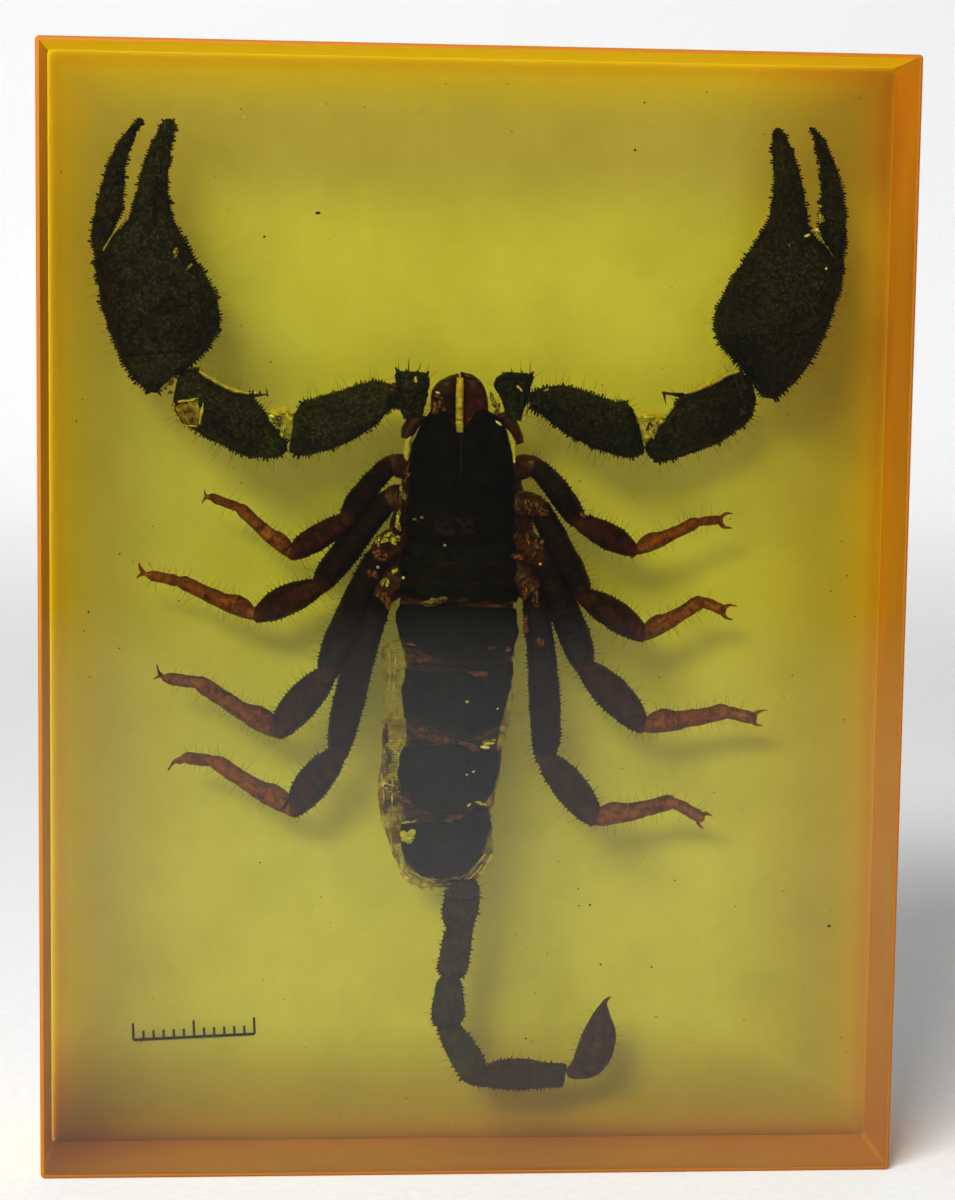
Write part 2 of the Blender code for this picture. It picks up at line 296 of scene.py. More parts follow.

# Sanded resin: the scratches, about 0.15 mm apart, scatter the light, and the skin has darkened to
# orange. The skin is browner along the front edge, within 0.9 mm of the face. An orange glow is
# painted on as emission, for light caught in the block that leaves at the sides; it is stronger
# towards the right and the top.
sanded, tree, shader, where = resin("sanded_amber_resin", specular_ior_level=0.0)
patches = add_node(tree, "TexNoise", {"Vector": where, "Scale": 90.0, "Detail": 4.0})
skin = add_node(tree, "ValToRGB", {"Fac": patches}, [(0.3, "#F29A04"), (0.7, "#FCAA08")])
place = add_node(tree, "SeparateXYZ", {"Vector": where})
brown_front_edge = add_node(tree, "MapRange", {"Value": place.outputs["Y"], "From Min": cad_low.y + BROWN_FRONT_EDGE[0] * MM,
                                     "From Max": cad_low.y + BROWN_FRONT_EDGE[1] * MM})
mix = add_node(tree, "Mix", {0: brown_front_edge, 6: skin, 7: linear("#BC7018")}, data_type="RGBA")
# Painted glow: an emission mask, stronger to the right and higher up, full along the top, and only behind the
# front edge.
far = add_node(tree, "MapRange", {"Value": place.outputs["X"], "From Min": cad_low.x,
                                  "From Max": cad_high.x, "To Min": 0.25, "To Max": 0.9})
high = add_node(tree, "MapRange", {"Value": place.outputs["Z"], "From Max": cad_high.z * 0.6})
painted_glow_share = add_node(tree, "Math", {0: far, 1: high}, operation="MULTIPLY")
lid = add_node(tree, "MapRange", {"Value": place.outputs["Z"], "From Min": cad_high.z - PAINTED_TOP_GLOW[0] * MM,
                                  "From Max": cad_high.z - PAINTED_TOP_GLOW[1] * MM})
painted_glow_share = add_node(tree, "Math", {0: painted_glow_share, 1: lid}, operation="MAXIMUM")
inner = add_node(tree, "MapRange", {"Value": place.outputs["Y"],
                                    "From Min": cad_low.y + PAINTED_GLOW_BEHIND[0] * MM,
                                    "From Max": cad_low.y + PAINTED_GLOW_BEHIND[1] * MM})
painted_glow_share = add_node(tree, "Math", {0: painted_glow_share, 1: inner}, operation="MULTIPLY")
painted_glow = add_node(tree, "ValToRGB", {"Fac": painted_glow_share}, [(0.0, "#000000"), (0.3, "#2A1000"), (0.9, "#5E3000"),
                                                 (1.0, "#A89200")])
scratches = add_node(tree, "TexNoise", {"Vector": where, "Scale": 6600.0, "Detail": 2.0})
satin = add_node(tree, "MapRange", {"Value": scratches, "To Min": 0.42, "To Max": 0.62})
grain = add_node(tree, "Bump", {"Height": scratches, "Strength": 0.25, "Distance": 0.00004})
feed(shader, {"Base Color": mix.outputs[2], "Transmission Weight": 0.25, "Roughness": satin,
              "Normal": grain, "Emission Color": painted_glow, "Emission Strength": 1.0})

block = bmesh.new()
bmesh.ops.create_cube(block, size=1.0)
bmesh.ops.scale(block, vec=BLOCK_SIZE + Vector((0, CUT_OFF, 0)), verts=block.verts)
bmesh.ops.translate(block, vec=(0, resin_low.y + (BLOCK_SIZE.y + CUT_OFF) / 2, BLOCK_SIZE.z / 2),
                    verts=block.verts)
bmesh.ops.bevel(block, geom=block.edges[:], offset=RIM_RADIUS, segments=4, profile=0.5, affect="EDGES",
                material=-1)
cut = bmesh.ops.bisect_plane(block, geom=block.verts[:] + block.edges[:] + block.faces[:],
                             plane_co=(0, backing_low.y + BOND, 0), plane_no=(0, 1, 0), clear_outer=True)
rim = [item for item in cut["geom_cut"] if isinstance(item, bmesh.types.BMEdge)]
bmesh.ops.holes_fill(block, edges=rim)
bmesh.ops.bevel(block, geom=rim, offset=CHAMFER, segments=1, profile=0.5, affect="EDGES", material=-1)
bmesh.ops.recalc_face_normals(block, faces=block.faces)
for face in block.faces:
    big = face.calc_area() > FLAT_AREA
    face.smooth = True
    for side in face.edges if big else ():
        side.smooth = False
    face.material_index = 0 if big and abs(face.normal.y) > 0.9 else 1
resin_block = object_from("resin_block", block, [polished, sanded])
resin_block.cycles.is_caustics_caster = True
resin_block.cycles.is_caustics_receiver = True
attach(resin_block, "root")
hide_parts("resin_front", "resin_back")


# ------------------------------------------------------------ backing board
# A thin board of white filled resin, cast on behind the specimen. It is the pale ground that shows
# through the amber, and a small measure is printed on it at the lower left.
INK_X = -32.9
INK_Z = 10.3
INK_TILT = math.radians(2.5)
INK_LENGTH = 12.0
INK_LINE = 0.28
INK_THICKNESS = 0.03
TICKS = 12
LONG_TICK_EVERY = 6
TICK_HEIGHTS = (0.9, 1.7)
PAINTED_EDGE_LIGHT_DEPTH = 6.0
PAINTED_FOOT_SHADE = 12.0
PAINTED_FLANK_SHADE = (6.0, -16.0)

# White filled resin: matt and milky, so light spreads 2 mm inside it and its top edge glows. It is
# faintly cloudy in patches of about 6 mm. Orange and yellow light is painted into its edges, 6 mm in
# and most of it in the first 2 mm, for the light from the glowing orange sides of the block and the
# brighter top. Painted shade darkens its foot and its right side.
board, tree, shader, where = new_material("white_filled_resin", roughness=0.6, specular_ior_level=0.3,
                                          subsurface_weight=1.0, subsurface_scale=0.0024)
clouds = add_node(tree, "TexNoise", {"Vector": where, "Scale": 160.0, "Detail": 5.0, "Roughness": 0.6})
tint = add_node(tree, "ValToRGB", {"Fac": clouds}, [(0.32, "#D4D4CE"), (0.68, "#DEDED8")])
place = add_node(tree, "SeparateXYZ", {"Vector": where})
# Painted light: the edge colour is mixed in by the distance to the nearest side, the top or the foot.
sideways = add_node(tree, "Math", {0: place.outputs["X"]}, operation="ABSOLUTE")
from_side = add_node(tree, "Math", {0: cad_high.x, 1: sideways}, operation="SUBTRACT")
from_top = add_node(tree, "Math", {0: cad_high.z, 1: place.outputs["Z"]}, operation="SUBTRACT")
nearest = add_node(tree, "Math", {0: from_side, 1: from_top}, operation="MINIMUM")
nearest = add_node(tree, "Math", {0: nearest, 1: place.outputs["Z"]}, operation="MINIMUM")
painted_edge_light = add_node(tree, "MapRange", {"Value": nearest, "From Max": PAINTED_EDGE_LIGHT_DEPTH * MM})
painted_edge_light_colour = add_node(tree, "ValToRGB", {"Fac": painted_edge_light}, [(0.0, "#F8BE28"), (0.3, "#FFE884"), (1.0, "#E6E4C8")])
mix = add_node(tree, "Mix", {0: painted_edge_light, 6: painted_edge_light_colour, 7: tint}, data_type="RGBA")
# Painted shade: darker towards the foot and the right side.
foot = add_node(tree, "MapRange", {"Value": place.outputs["Z"], "From Max": PAINTED_FOOT_SHADE * MM})
flank = add_node(tree, "MapRange", {"Value": place.outputs["X"],
                                    "From Min": cad_high.x + PAINTED_FLANK_SHADE[0] * MM,
                                    "From Max": cad_high.x + PAINTED_FLANK_SHADE[1] * MM})
tone_mask = add_node(tree, "Math", {0: foot, 1: flank}, operation="MINIMUM")
painted_shade = add_node(tree, "ValToRGB", {"Fac": tone_mask}, [(0.0, "#C0AC84"), (1.0, "#FFFFFF")])
mix = add_node(tree, "Mix", {0: 1.0, 6: mix.outputs[2], 7: painted_shade}, data_type="RGBA", blend_type="MULTIPLY")
feed(shader, {"Base Color": mix.outputs[2], "Subsurface Radius": (1.0, 1.0, 0.6)})
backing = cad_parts["backing"]
backing.data.materials.clear()
backing.data.materials.append(board)
backing.cycles.is_caustics_receiver = True

# Printing ink: soft black, a little worn where the board is rough, in grains of 0.1 mm.
ink = speckled("printing_ink", 9000.0, [(0.35, "#14130F"), (0.75, "#3A372C")], roughness=0.7,
               specular_ior_level=0.1)

measure = bmesh.new()
strokes = [(INK_LENGTH / 2, 0.0, INK_LENGTH, INK_LINE)]
for count in range(TICKS + 1):
    tall = TICK_HEIGHTS[count % LONG_TICK_EVERY == 0]
    strokes.append((count * INK_LENGTH / TICKS, tall / 2, INK_LINE * 0.8, tall))
for middle, up, wide, tall in strokes:
    made = bmesh.ops.create_cube(measure, size=1.0)["verts"]
    bmesh.ops.scale(measure, vec=(wide, INK_THICKNESS, tall), verts=made)
    bmesh.ops.translate(measure, vec=(middle, 0, up), verts=made)
bmesh.ops.rotate(measure, cent=(0, 0, 0), matrix=Matrix.Rotation(-INK_TILT, 3, "Y"), verts=measure.verts)
bmesh.ops.translate(measure, vec=(INK_X, backing_low.y - INK_THICKNESS, INK_Z), verts=measure.verts)
printed_measure = object_from("printed_measure", measure, [ink])
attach(printed_measure, "root")


# ---------------------------------------------------------- specks in resin
# Dust and tiny bubbles that were stirred into the resin before it set. The dust is dark brown and
# lies all through the block, and the bubbles are thin-walled voids that catch the light.
DUST_COUNT = 150
BUBBLE_PLACES = [
    (-22.1, 100.2, 0.16), (-16.9, 79.4, 0.12), (16.6, 71.8, 0.12), (-3.0, 60.6, 0.14), (-9.3, 58.4, 0.16),
]
LARGE_DUST = [
    (-15.2, 91.6, 0.24), (14.6, 98.0, 0.2), (-20.2, 89.4, 0.14), (11.6, 25.6, 0.17), (35.2, 23.4, 0.2),
    (12.8, 19.6, 0.14), (17.6, 19.7, 0.13), (-36.6, 53.9, 0.15), (5.6, 12.2, 0.12), (-30.6, 62.0, 0.1),
]
specimen_y = (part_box("resin_front")[1].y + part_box("resin_back")[0].y) / 2 / MM
chance = random.Random(11)

# Dust: dark brown grains, rough and uneven at about 0.05 mm.
dust = speckled("brown_dust", 20000.0, [(0.3, "#2A1D0A"), (0.7, "#5A4417")], roughness=0.9,
                specular_ior_level=0.0)

specks = bmesh.new()
grains = [(x, chance.uniform(resin_low.y + 3, specimen_y), z, size) for x, z, size in LARGE_DUST]
for count in range(DUST_COUNT):
    grains.append((chance.uniform(resin_low.x + 2, resin_high.x - 2),
                   chance.uniform(resin_low.y + 2, resin_high.y - 1), chance.uniform(3, resin_high.z - 3),
                   chance.uniform(0.04, 0.1)))
for x, y, z, size in grains:
    made = bmesh.ops.create_icosphere(specks, subdivisions=1, radius=size)["verts"]
    bmesh.ops.scale(specks, vec=(chance.uniform(0.6, 1.3), chance.uniform(0.6, 1), chance.uniform(0.6, 1)),
                    verts=made)
    bmesh.ops.translate(specks, vec=(x, y, z), verts=made)
resin_dust = object_from("resin_dust", specks, [dust])
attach(resin_dust, "root")

# Air: a bubble's wall is where the resin ends, so light turns back inside it and it looks silver.
air = speckled("air_bubble", 5000.0, [(0.3, "#FFFDF2"), (0.7, "#F6F0D8")], transmission_weight=0.35,
               ior=1.0 / RESIN_IOR, roughness=0.3)

voids = bmesh.new()
for x, z, size in BUBBLE_PLACES:
    made = bmesh.ops.create_icosphere(voids, subdivisions=3, radius=size)["verts"]
    bmesh.ops.translate(voids, vec=(x, specimen_y - chance.uniform(2.5, 5), z), verts=made)
resin_bubbles = object_from("resin_bubbles", voids, [air])
resin_bubbles.data.shade_smooth()
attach(resin_bubbles, "root")


# ------------------------------------------------------------------ pincers
# The two big pedipalps: trochanter, femur, patella and a broad hand with a fixed and a moving
# finger, all hard black-olive cuticle, rough with granules. Each row below is one cross section:
# its two edges on the outline, (x, z) and (x, z), and its half thickness.
LEFT_PINCER = {
    "trochanter": [(-7.0, 72.4, -5.1, 72.5, 0.9), (-7.4, 73.6, -4.85, 73.7, 1.5),
        (-7.4, 74.9, -4.6, 74.9, 1.8), (-7.7, 75.9, -4.4, 75.9, 1.7), (-7.75, 76.6, -4.5, 76.4, 1.3),
        (-7.4, 76.95, -4.9, 76.75, 0.8)],
    "femur": [(-6.8, 75.0, -6.9, 73.6, 0.8), (-7.8, 75.5, -8.2, 73.2, 1.3), (-9.6, 75.95, -9.7, 71.8, 1.7),
        (-11.9, 75.4, -11.9, 70.3, 2.0), (-14.3, 74.5, -14.3, 69.4, 2.1), (-16.3, 73.95, -16.4, 68.8, 1.9),
        (-17.05, 73.2, -17.75, 69.2, 1.3)],
    "patella": [(-18.0, 70.0, -18.0, 69.3, 0.7), (-18.7, 70.9, -18.9, 68.6, 1.3),
        (-19.6, 72.0, -20.5, 68.6, 1.8), (-20.6, 73.5, -22.0, 68.9, 2.1), (-21.6, 74.5, -23.3, 69.35, 2.2),
        (-23.0, 74.7, -24.7, 70.0, 2.3), (-24.6, 75.4, -26.1, 70.75, 2.2), (-25.9, 76.4, -27.3, 71.5, 1.9),
        (-27.2, 76.9, -28.3, 72.5, 1.5), (-28.2, 76.4, -28.7, 73.8, 0.8)],
    "hand": [(-31.1, 74.6, -30.1, 74.6, 0.6), (-32.0, 75.5, -28.8, 75.9, 1.4),
        (-33.3, 77.1, -26.4, 77.8, 2.2), (-34.5, 79.9, -24.7, 80.3, 2.7), (-35.4, 82.6, -24.5, 82.8, 2.8),
        (-35.8, 85.2, -25.4, 85.2, 2.6), (-36.0, 87.4, -26.8, 87.4, 2.3), (-34.7, 89.1, -28.0, 89.4, 1.9),
        (-33.0, 90.6, -28.8, 91.0, 1.6), (-32.4, 92.2, -29.15, 92.6, 1.3), (-32.0, 94.0, -29.3, 94.4, 1.1),
        (-31.4, 96.2, -29.1, 96.6, 0.9), (-30.6, 98.2, -28.85, 98.4, 0.7), (-29.9, 99.6, -28.6, 99.8, 0.5),
        (-29.5, 100.1, -28.9, 100.15, 0.3)],
    "moving_finger": [(-35.6, 86.2, -34.6, 86.7, 0.9), (-36.3, 88.4, -34.5, 89.2, 1.3),
        (-36.25, 90.2, -33.7, 91.2, 1.3), (-35.85, 92.2, -33.4, 92.9, 1.2),
        (-35.3, 94.4, -33.3, 95.0, 0.95), (-34.5, 96.6, -32.9, 97.1, 0.75), (-33.3, 98.6, -32.2, 98.9, 0.5),
        (-31.9, 100.2, -31.6, 100.1, 0.2)],
}
RIGHT_PINCER = {
    "trochanter": [(2.9, 72.5, 4.4, 72.3, 0.9), (2.6, 73.7, 4.75, 73.6, 1.5), (2.2, 74.7, 5.1, 74.7, 1.8),
        (1.65, 75.7, 5.35, 75.7, 1.7), (1.95, 76.4, 5.5, 76.5, 1.3), (2.7, 76.9, 5.2, 76.85, 0.8)],
    "femur": [(4.8, 74.8, 5.0, 73.6, 0.8), (6.0, 75.3, 6.3, 73.0, 1.3), (7.4, 75.7, 7.3, 72.2, 1.6),
        (9.1, 75.55, 9.2, 70.9, 1.9), (11.2, 74.9, 11.3, 69.9, 2.1), (13.3, 74.3, 13.4, 69.2, 2.1),
        (14.6, 74.1, 15.2, 68.95, 1.9), (15.2, 73.1, 16.3, 69.4, 1.3)],
    "patella": [(16.5, 70.2, 16.5, 69.5, 0.7), (17.2, 71.1, 17.3, 68.8, 1.3),
        (18.0, 72.2, 18.8, 68.75, 1.8), (18.9, 73.6, 20.3, 69.3, 2.1), (19.8, 74.9, 21.8, 69.85, 2.2),
        (21.4, 75.35, 23.2, 70.4, 2.3), (22.9, 76.0, 24.5, 71.2, 2.2), (24.2, 76.9, 25.8, 72.1, 1.9),
        (25.2, 77.35, 26.7, 73.1, 1.4), (26.3, 76.6, 26.9, 74.6, 0.8)],
    "hand": [(27.7, 74.9, 28.8, 74.7, 0.6), (26.6, 76.2, 30.3, 75.9, 1.4), (25.0, 78.2, 32.0, 78.0, 2.2),
        (23.4, 79.9, 33.2, 80.3, 2.7), (22.8, 82.2, 34.1, 82.6, 2.8), (23.8, 85.0, 34.8, 85.2, 2.7),
        (25.1, 87.2, 35.0, 87.4, 2.4), (26.3, 89.1, 33.6, 89.0, 2.0), (27.4, 90.8, 31.9, 90.7, 1.6),
        (28.0, 92.6, 31.45, 92.4, 1.3), (28.2, 94.4, 31.1, 94.4, 1.1), (28.15, 96.6, 30.5, 96.7, 0.9),
        (28.0, 98.6, 29.7, 98.6, 0.7), (28.0, 99.8, 29.1, 99.9, 0.5), (28.2, 100.35, 28.8, 100.4, 0.3)],
    "moving_finger": [(33.8, 86.6, 34.9, 86.2, 0.9), (33.5, 88.9, 35.2, 88.5, 1.3),
        (32.8, 91.2, 35.3, 90.8, 1.3), (32.85, 93.2, 35.15, 93.0, 1.2), (32.8, 95.2, 34.7, 95.4, 0.95),
        (32.6, 97.2, 34.0, 97.2, 0.75), (32.1, 99.2, 33.1, 99.3, 0.5), (31.5, 100.55, 31.8, 100.5, 0.2)],
}
SPINES = [
    (-7.3, 76.6, -7.75, 77.3, 0.32), (-4.9, 76.4, -4.5, 77.0, 0.28), (-5.7, 76.5, -5.6, 77.1, 0.2),
    (-6.6, 76.6, -6.7, 77.15, 0.2), (5.1, 76.5, 5.5, 77.1, 0.32), (2.7, 76.5, 2.45, 77.05, 0.25),
    (4.3, 76.6, 4.4, 77.15, 0.2), (3.4, 76.7, 3.4, 77.15, 0.18), (-22.0, 74.35, -19.8, 74.6, 0.26),
    (-19.85, 74.4, -19.95, 75.2, 0.1), (-20.6, 74.5, -20.5, 74.95, 0.14), (-21.2, 74.6, -21.2, 74.95, 0.14),
    (19.9, 74.95, 17.9, 75.2, 0.28), (18.05, 75.3, 18.3, 74.0, 0.13), (19.0, 75.0, 19.0, 75.4, 0.12),
    (-7.35, 76.6, -7.5, 78.3, 0.045), (-6.5, 76.5, -6.45, 78.1, 0.04), (-5.6, 76.4, -5.3, 77.9, 0.04),
    (-4.9, 76.3, -4.5, 77.7, 0.04), (5.1, 76.4, 5.2, 78.3, 0.045), (4.3, 76.5, 4.2, 78.2, 0.04),
    (3.5, 76.6, 3.2, 77.9, 0.04), (2.6, 76.4, 2.2, 77.8, 0.04),
]
PINCER_SIDES = {"hand": 150, "femur": 110, "patella": 110}
PINCER_STEP = 0.17
RING_STEP = 0.25
GRANULE = 0.36
TOOTH = {"every": 0.26, "length": 0.4, "radius": 0.12}
PALP_HAIR = {"every": 0.33, "length": 1.7, "radius": 0.027}
HAND_HAIR = {"every": 0.35, "length": 1.4, "radius": 0.022}


def chitin(name, dark, light, ends=None, rim=None, grain=0.3, patch=2.5, roughness=0.5, dents=0.4, gloss=0.05,
           tips=0.0, seed=0.0):
    """Hard cuticle that varies in patches and may have paler granule tips, joint ends and edges."""
    material, tree, shader, where = new_material(name, roughness=roughness, specular_ior_level=gloss)
    patches = add_node(tree, "TexNoise", {"Vector": where, "W": seed, "Detail": 4.0,
                                          "Scale": 1 / (patch * MM), "Roughness": 0.65,
                                          "Distortion": 0.8}, noise_dimensions="4D")
    shade = add_node(tree, "MapRange", {"Value": patches, "From Min": 0.36, "From Max": 0.68,
                                        "To Min": 0.35 if tips else 0.0})
    if tips:
        specks = add_node(tree, "TexVoronoi", {"Vector": where, "Scale": 1 / (GRANULE * MM)})
        bare = add_node(tree, "MapRange", {"Value": specks, "From Min": 0.1, "From Max": 0.36,
                                           "To Min": 1.0, "To Max": 1 - tips})
        tone_mask = add_node(tree, "Attribute", attribute_name="tip")
        raised = add_node(tree, "Math", {0: tone_mask.outputs["Fac"], 1: 0.6, 2: bare}, operation="MULTIPLY_ADD")
        shade = add_node(tree, "Math", {0: shade, 1: raised}, operation="MULTIPLY")
    colour = add_node(tree, "ValToRGB", {"Fac": shade}, [(0.0, dark), (1.0, light)])
    for layer, tone in (("end", ends), ("edge", rim)):
        if tone:
            reach = add_node(tree, "Attribute", attribute_name=layer)
            colour = add_node(tree, "Mix", {0: reach.outputs["Fac"], 6: colour, 7: linear(tone)},
                              data_type="RGBA").outputs[2]
    leather = add_node(tree, "TexNoise", {"Vector": where, "Scale": 1 / (grain * MM), "Detail": 2.0})
    bump = add_node(tree, "Bump", {"Height": leather, "Strength": dents, "Distance": grain * 0.3 * MM})
    feed(shader, {"Base Color": colour, "Normal": bump})
    return material


# Granular cuticle: black-olive, with the pale worn tips of granules 0.36 mm apart.
left_cuticle = chitin("black_granular_cuticle", "#080807", "#54563F", tips=0.9, seed=1.3)
right_cuticle = chitin("olive_granular_cuticle", "#050505", "#444632", tips=0.9, patch=3.7, seed=3.4)
# Bristle: stiff golden-brown hair, clear at the tip.
bristle = chitin("golden_brown_bristle", "#2E200C", "#80601F", patch=1.5, roughness=0.4, dents=0.0)


def smooth_step(a, b, c, d, t):
    """The value between b and c at share t on a smooth curve through a, b, c and d."""
    return b + t * (c - a + t * (2 * a - 5 * b + 4 * c - d + t * (3 * (b - c) + d - a))) / 2


def through(rows, step):
    """Rows of numbers read every step mm along a smooth curve that passes through the given ones."""
    read = []
    for place in range(len(rows) - 1):
        near = [rows[min(max(place + shift, 0), len(rows) - 1)] for shift in (-1, 0, 1, 2)]
        span = math.dist((near[1][0] + near[1][2], near[1][1] + near[1][3]),
                         (near[2][0] + near[2][2], near[2][1] + near[2][3])) / 2
        count = max(1, round(span / step))
        for part in range(count):
            read.append([smooth_step(*values, part / count) for values in zip(*near)])
    read.append(list(rows[-1]))
    return read


def cross_section(row, y):
    """Places a unit circle as one cross section between its two outline points."""
    left = Vector((row[0], y, row[1]))
    right = Vector((row[2], y, row[3]))
    across = (right - left) / 2
    along = Vector((-across.z, 0, across.x)).normalized()
    columns = Matrix((across, along, Vector((0, -row[4], 0)))).transposed().to_4x4()
    return Matrix.Translation((left + right) / 2) @ columns


def mark(shape, name):
    """The shape's own layer of one number per point, such as how near it is to an end or an edge."""
    return shape.verts.layers.float.get(name) or shape.verts.layers.float.new(name)


def loft(shape, rows, sides=24, keels=0, keel_share=0.0, y=None, step=RING_STEP, reach=1.2):
    """A closed skin through cross sections. Its ridges, if any, run along it. Both marks are made
    before either is read, because a new one makes older handles stale."""
    y = specimen_y if y is None else y
    for name in ("end", "edge"):
        mark(shape, name)
    end, edge = mark(shape, "end"), mark(shape, "edge")
    made = bmesh.ops.create_circle(shape, cap_ends=True, radius=1.0, segments=sides)["verts"]
    bmesh.ops.rotate(shape, cent=(0, 0, 0), matrix=Matrix.Rotation(math.pi / 2, 3, "X"), verts=made)
    for vert in made:
        turn = math.atan2(vert.co.z, vert.co.x)
        vert[edge] = abs(math.cos(turn)) ** 6
        narrowed = 1 - keel_share * (1 - math.cos(2 * keels * turn)) / 2
        bmesh.ops.scale(shape, vec=[narrowed] * 3, verts=[vert])
    cap = made[0].link_faces[0]
    placed = None
    read = through(rows, step)
    for count, row in enumerate(read):
        target = cross_section(row, y)
        if placed is not None:
            grown = bmesh.ops.extrude_face_region(shape, geom=[cap])["geom"]
            cap = [item for item in grown if isinstance(item, bmesh.types.BMFace)][0]
        move = target @ placed.inverted() if placed else target
        bmesh.ops.transform(shape, matrix=move, verts=cap.verts[:])
        placed = target
        for vert in cap.verts:
            vert[end] = max(0.0, 1 - min(count, len(read) - 1 - count) * step / reach)


def spine(shape, start, end, radius, bend=0.0, y=None, sides=8):
    """A thin pointed cone from start to end, bowed sideways by bend."""
    start, run = Vector(start), Vector(end) - Vector(start)
    side = Vector((-run.y, run.x)).normalized()
    rows = []
    for count in range(6):
        share = count / 5
        middle = start + run * share + side * bend * math.sin(math.pi * share)
        wide = radius * (1 - 0.85 * share)
        low, high = middle - side * wide, middle + side * wide
        rows.append((high.x, high.y, low.x, low.y, wide))
    loft(shape, rows, sides, y=y, step=0.4, reach=0.01)


def spikes(shape, rows, edge, every, length, radius, sides=5, spread=0.25, skip=0.0):
    """Small cones that stand out along one outline of a limb: teeth when short, hairs when long."""
    read = through(rows, every)
    for here, after in zip(read, read[1:]):
        if chance.random() < skip:
            continue
        foot = Vector((here[edge], specimen_y + chance.uniform(-spread, spread), here[edge + 1]))
        middle = Vector(((here[0] + here[2]) / 2, specimen_y, (here[1] + here[3]) / 2))
        run = Vector((after[edge] - here[edge], 0, after[edge + 1] - here[edge + 1]))
        out = Vector((run.z, 0, -run.x)).normalized()
        if out.dot(foot - middle) < 0:
            out.negate()
        out += Vector([chance.uniform(-spread, spread) for axis in range(3)])
        out.normalize()
        tall = length * chance.uniform(0.5, 1.2)
        turned = out.to_track_quat("Z", "Y").to_matrix().to_4x4()
        stood = Matrix.Translation(foot + out * (tall / 2 - radius)) @ turned
        bmesh.ops.create_cone(shape, cap_ends=True, segments=sides, radius1=radius, radius2=radius * 0.2,
                              depth=tall, matrix=stood)


def specimen_piece(name, shape, materials, rough=0.0, granule=0.45):
    """Finishes a piece of the scorpion: closed, smooth, granulated by rough mm, riding with the block."""
    tip = mark(shape, "tip")
    bmesh.ops.recalc_face_normals(shape, faces=shape.faces)
    shape.normal_update()
    for vert in shape.verts if rough else ():
        vert[tip] = max(0.0, 1 - 1.5 * noise.voronoi(vert.co / granule)[0][0])
        vert.co += vert.normal * rough * (vert[tip] + 0.8 * noise.noise(vert.co / granule / 2.5))
    thing = object_from(name, shape, materials)
    thing.data.shade_smooth()
    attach(thing, "root")
    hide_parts("scorpion")
    thing.cycles.is_caustics_receiver = True


for side, pincer, cuticle in (("left", LEFT_PINCER, left_cuticle), ("right", RIGHT_PINCER, right_cuticle)):
    hairs = bmesh.new()
    for name, rows in pincer.items():
        limb = bmesh.new()
        loft(limb, rows, PINCER_SIDES.get(name, 72), keels=4, keel_share=0.06, step=PINCER_STEP)
        for edge in (0, 2):
            if name != "trochanter":
                spikes(limb, rows, edge, **TOOTH)
            if name in ("trochanter", "femur", "patella"):
                spikes(hairs, rows, edge, sides=3, spread=0.35, skip=0.4, **PALP_HAIR)
            elif name == "hand":
                spikes(hairs, rows[:8], edge, sides=3, spread=0.35, skip=0.4, **HAND_HAIR)
        specimen_piece(f"{side}_pincer_{name}", limb, [cuticle], rough=0.15, granule=0.4)
    specimen_piece(f"{side}_pincer_hairs", hairs, [bristle])

spurs = bmesh.new()
for x0, z0, x1, z1, radius in SPINES:
    spine(spurs, (x0, z0), (x1, z1), radius)
specimen_piece("pincer_spurs", spurs, [left_cuticle], rough=0.05)


# -------------------------------------------------------------------- trunk
# The body under the plates: a soft red-brown sac, flattened in drying. It shows between the plates
# of the back as dull red bands with ochre patches.
TRUNK = [
    (-6.3, 62.0, 3.6, 62.0, 1.6), (-6.8, 58.0, 3.8, 57.6, 1.7), (-7.1, 54.0, 3.9, 53.6, 1.8),
    (-6.9, 50.6, 3.8, 50.0, 1.9), (-6.4, 48.6, 3.8, 48.4, 1.9), (-6.5, 45.0, 3.4, 45.0, 1.9),
    (-6.3, 42.0, 2.6, 41.6, 1.9), (-6.6, 38.0, 2.3, 38.0, 1.8), (-6.7, 35.0, 1.5, 35.0, 1.7),
    (-6.6, 32.0, 1.5, 32.0, 1.5), (-6.2, 29.2, 1.0, 29.6, 1.0), (-4.6, 27.9, -0.6, 28.0, 0.6),
]
TRUNK_DEPTH = 0.5

# Soft cuticle: a thin, dull red-brown skin over darker flesh, in streaks of about 2 mm across.
soft_skin, tree, shader, where = new_material("red_brown_soft_cuticle", roughness=0.5,
                                              specular_ior_level=0.15)
stretched = add_node(tree, "Mapping", {"Vector": where, "Rotation": (0, 0.25, 0), "Scale": (0.6, 1.0, 2.2)})
patches = add_node(tree, "TexNoise", {"Vector": stretched, "Scale": 420.0, "Detail": 6.0, "Roughness": 0.7,
                                      "Distortion": 0.5})
tint = add_node(tree, "ValToRGB", {"Fac": patches}, [(0.34, "#120B09"), (0.46, "#2C1812"),
                                                     (0.56, "#56301F"), (0.7, "#A06A38")])
wrinkles = add_node(tree, "Bump", {"Height": patches, "Strength": 0.8, "Distance": 0.0003})
feed(shader, {"Base Color": tint, "Normal": wrinkles})

body = bmesh.new()
loft(body, TRUNK, 48, y=specimen_y + TRUNK_DEPTH)
specimen_piece("trunk", body, [soft_skin], rough=0.1, granule=1.2)


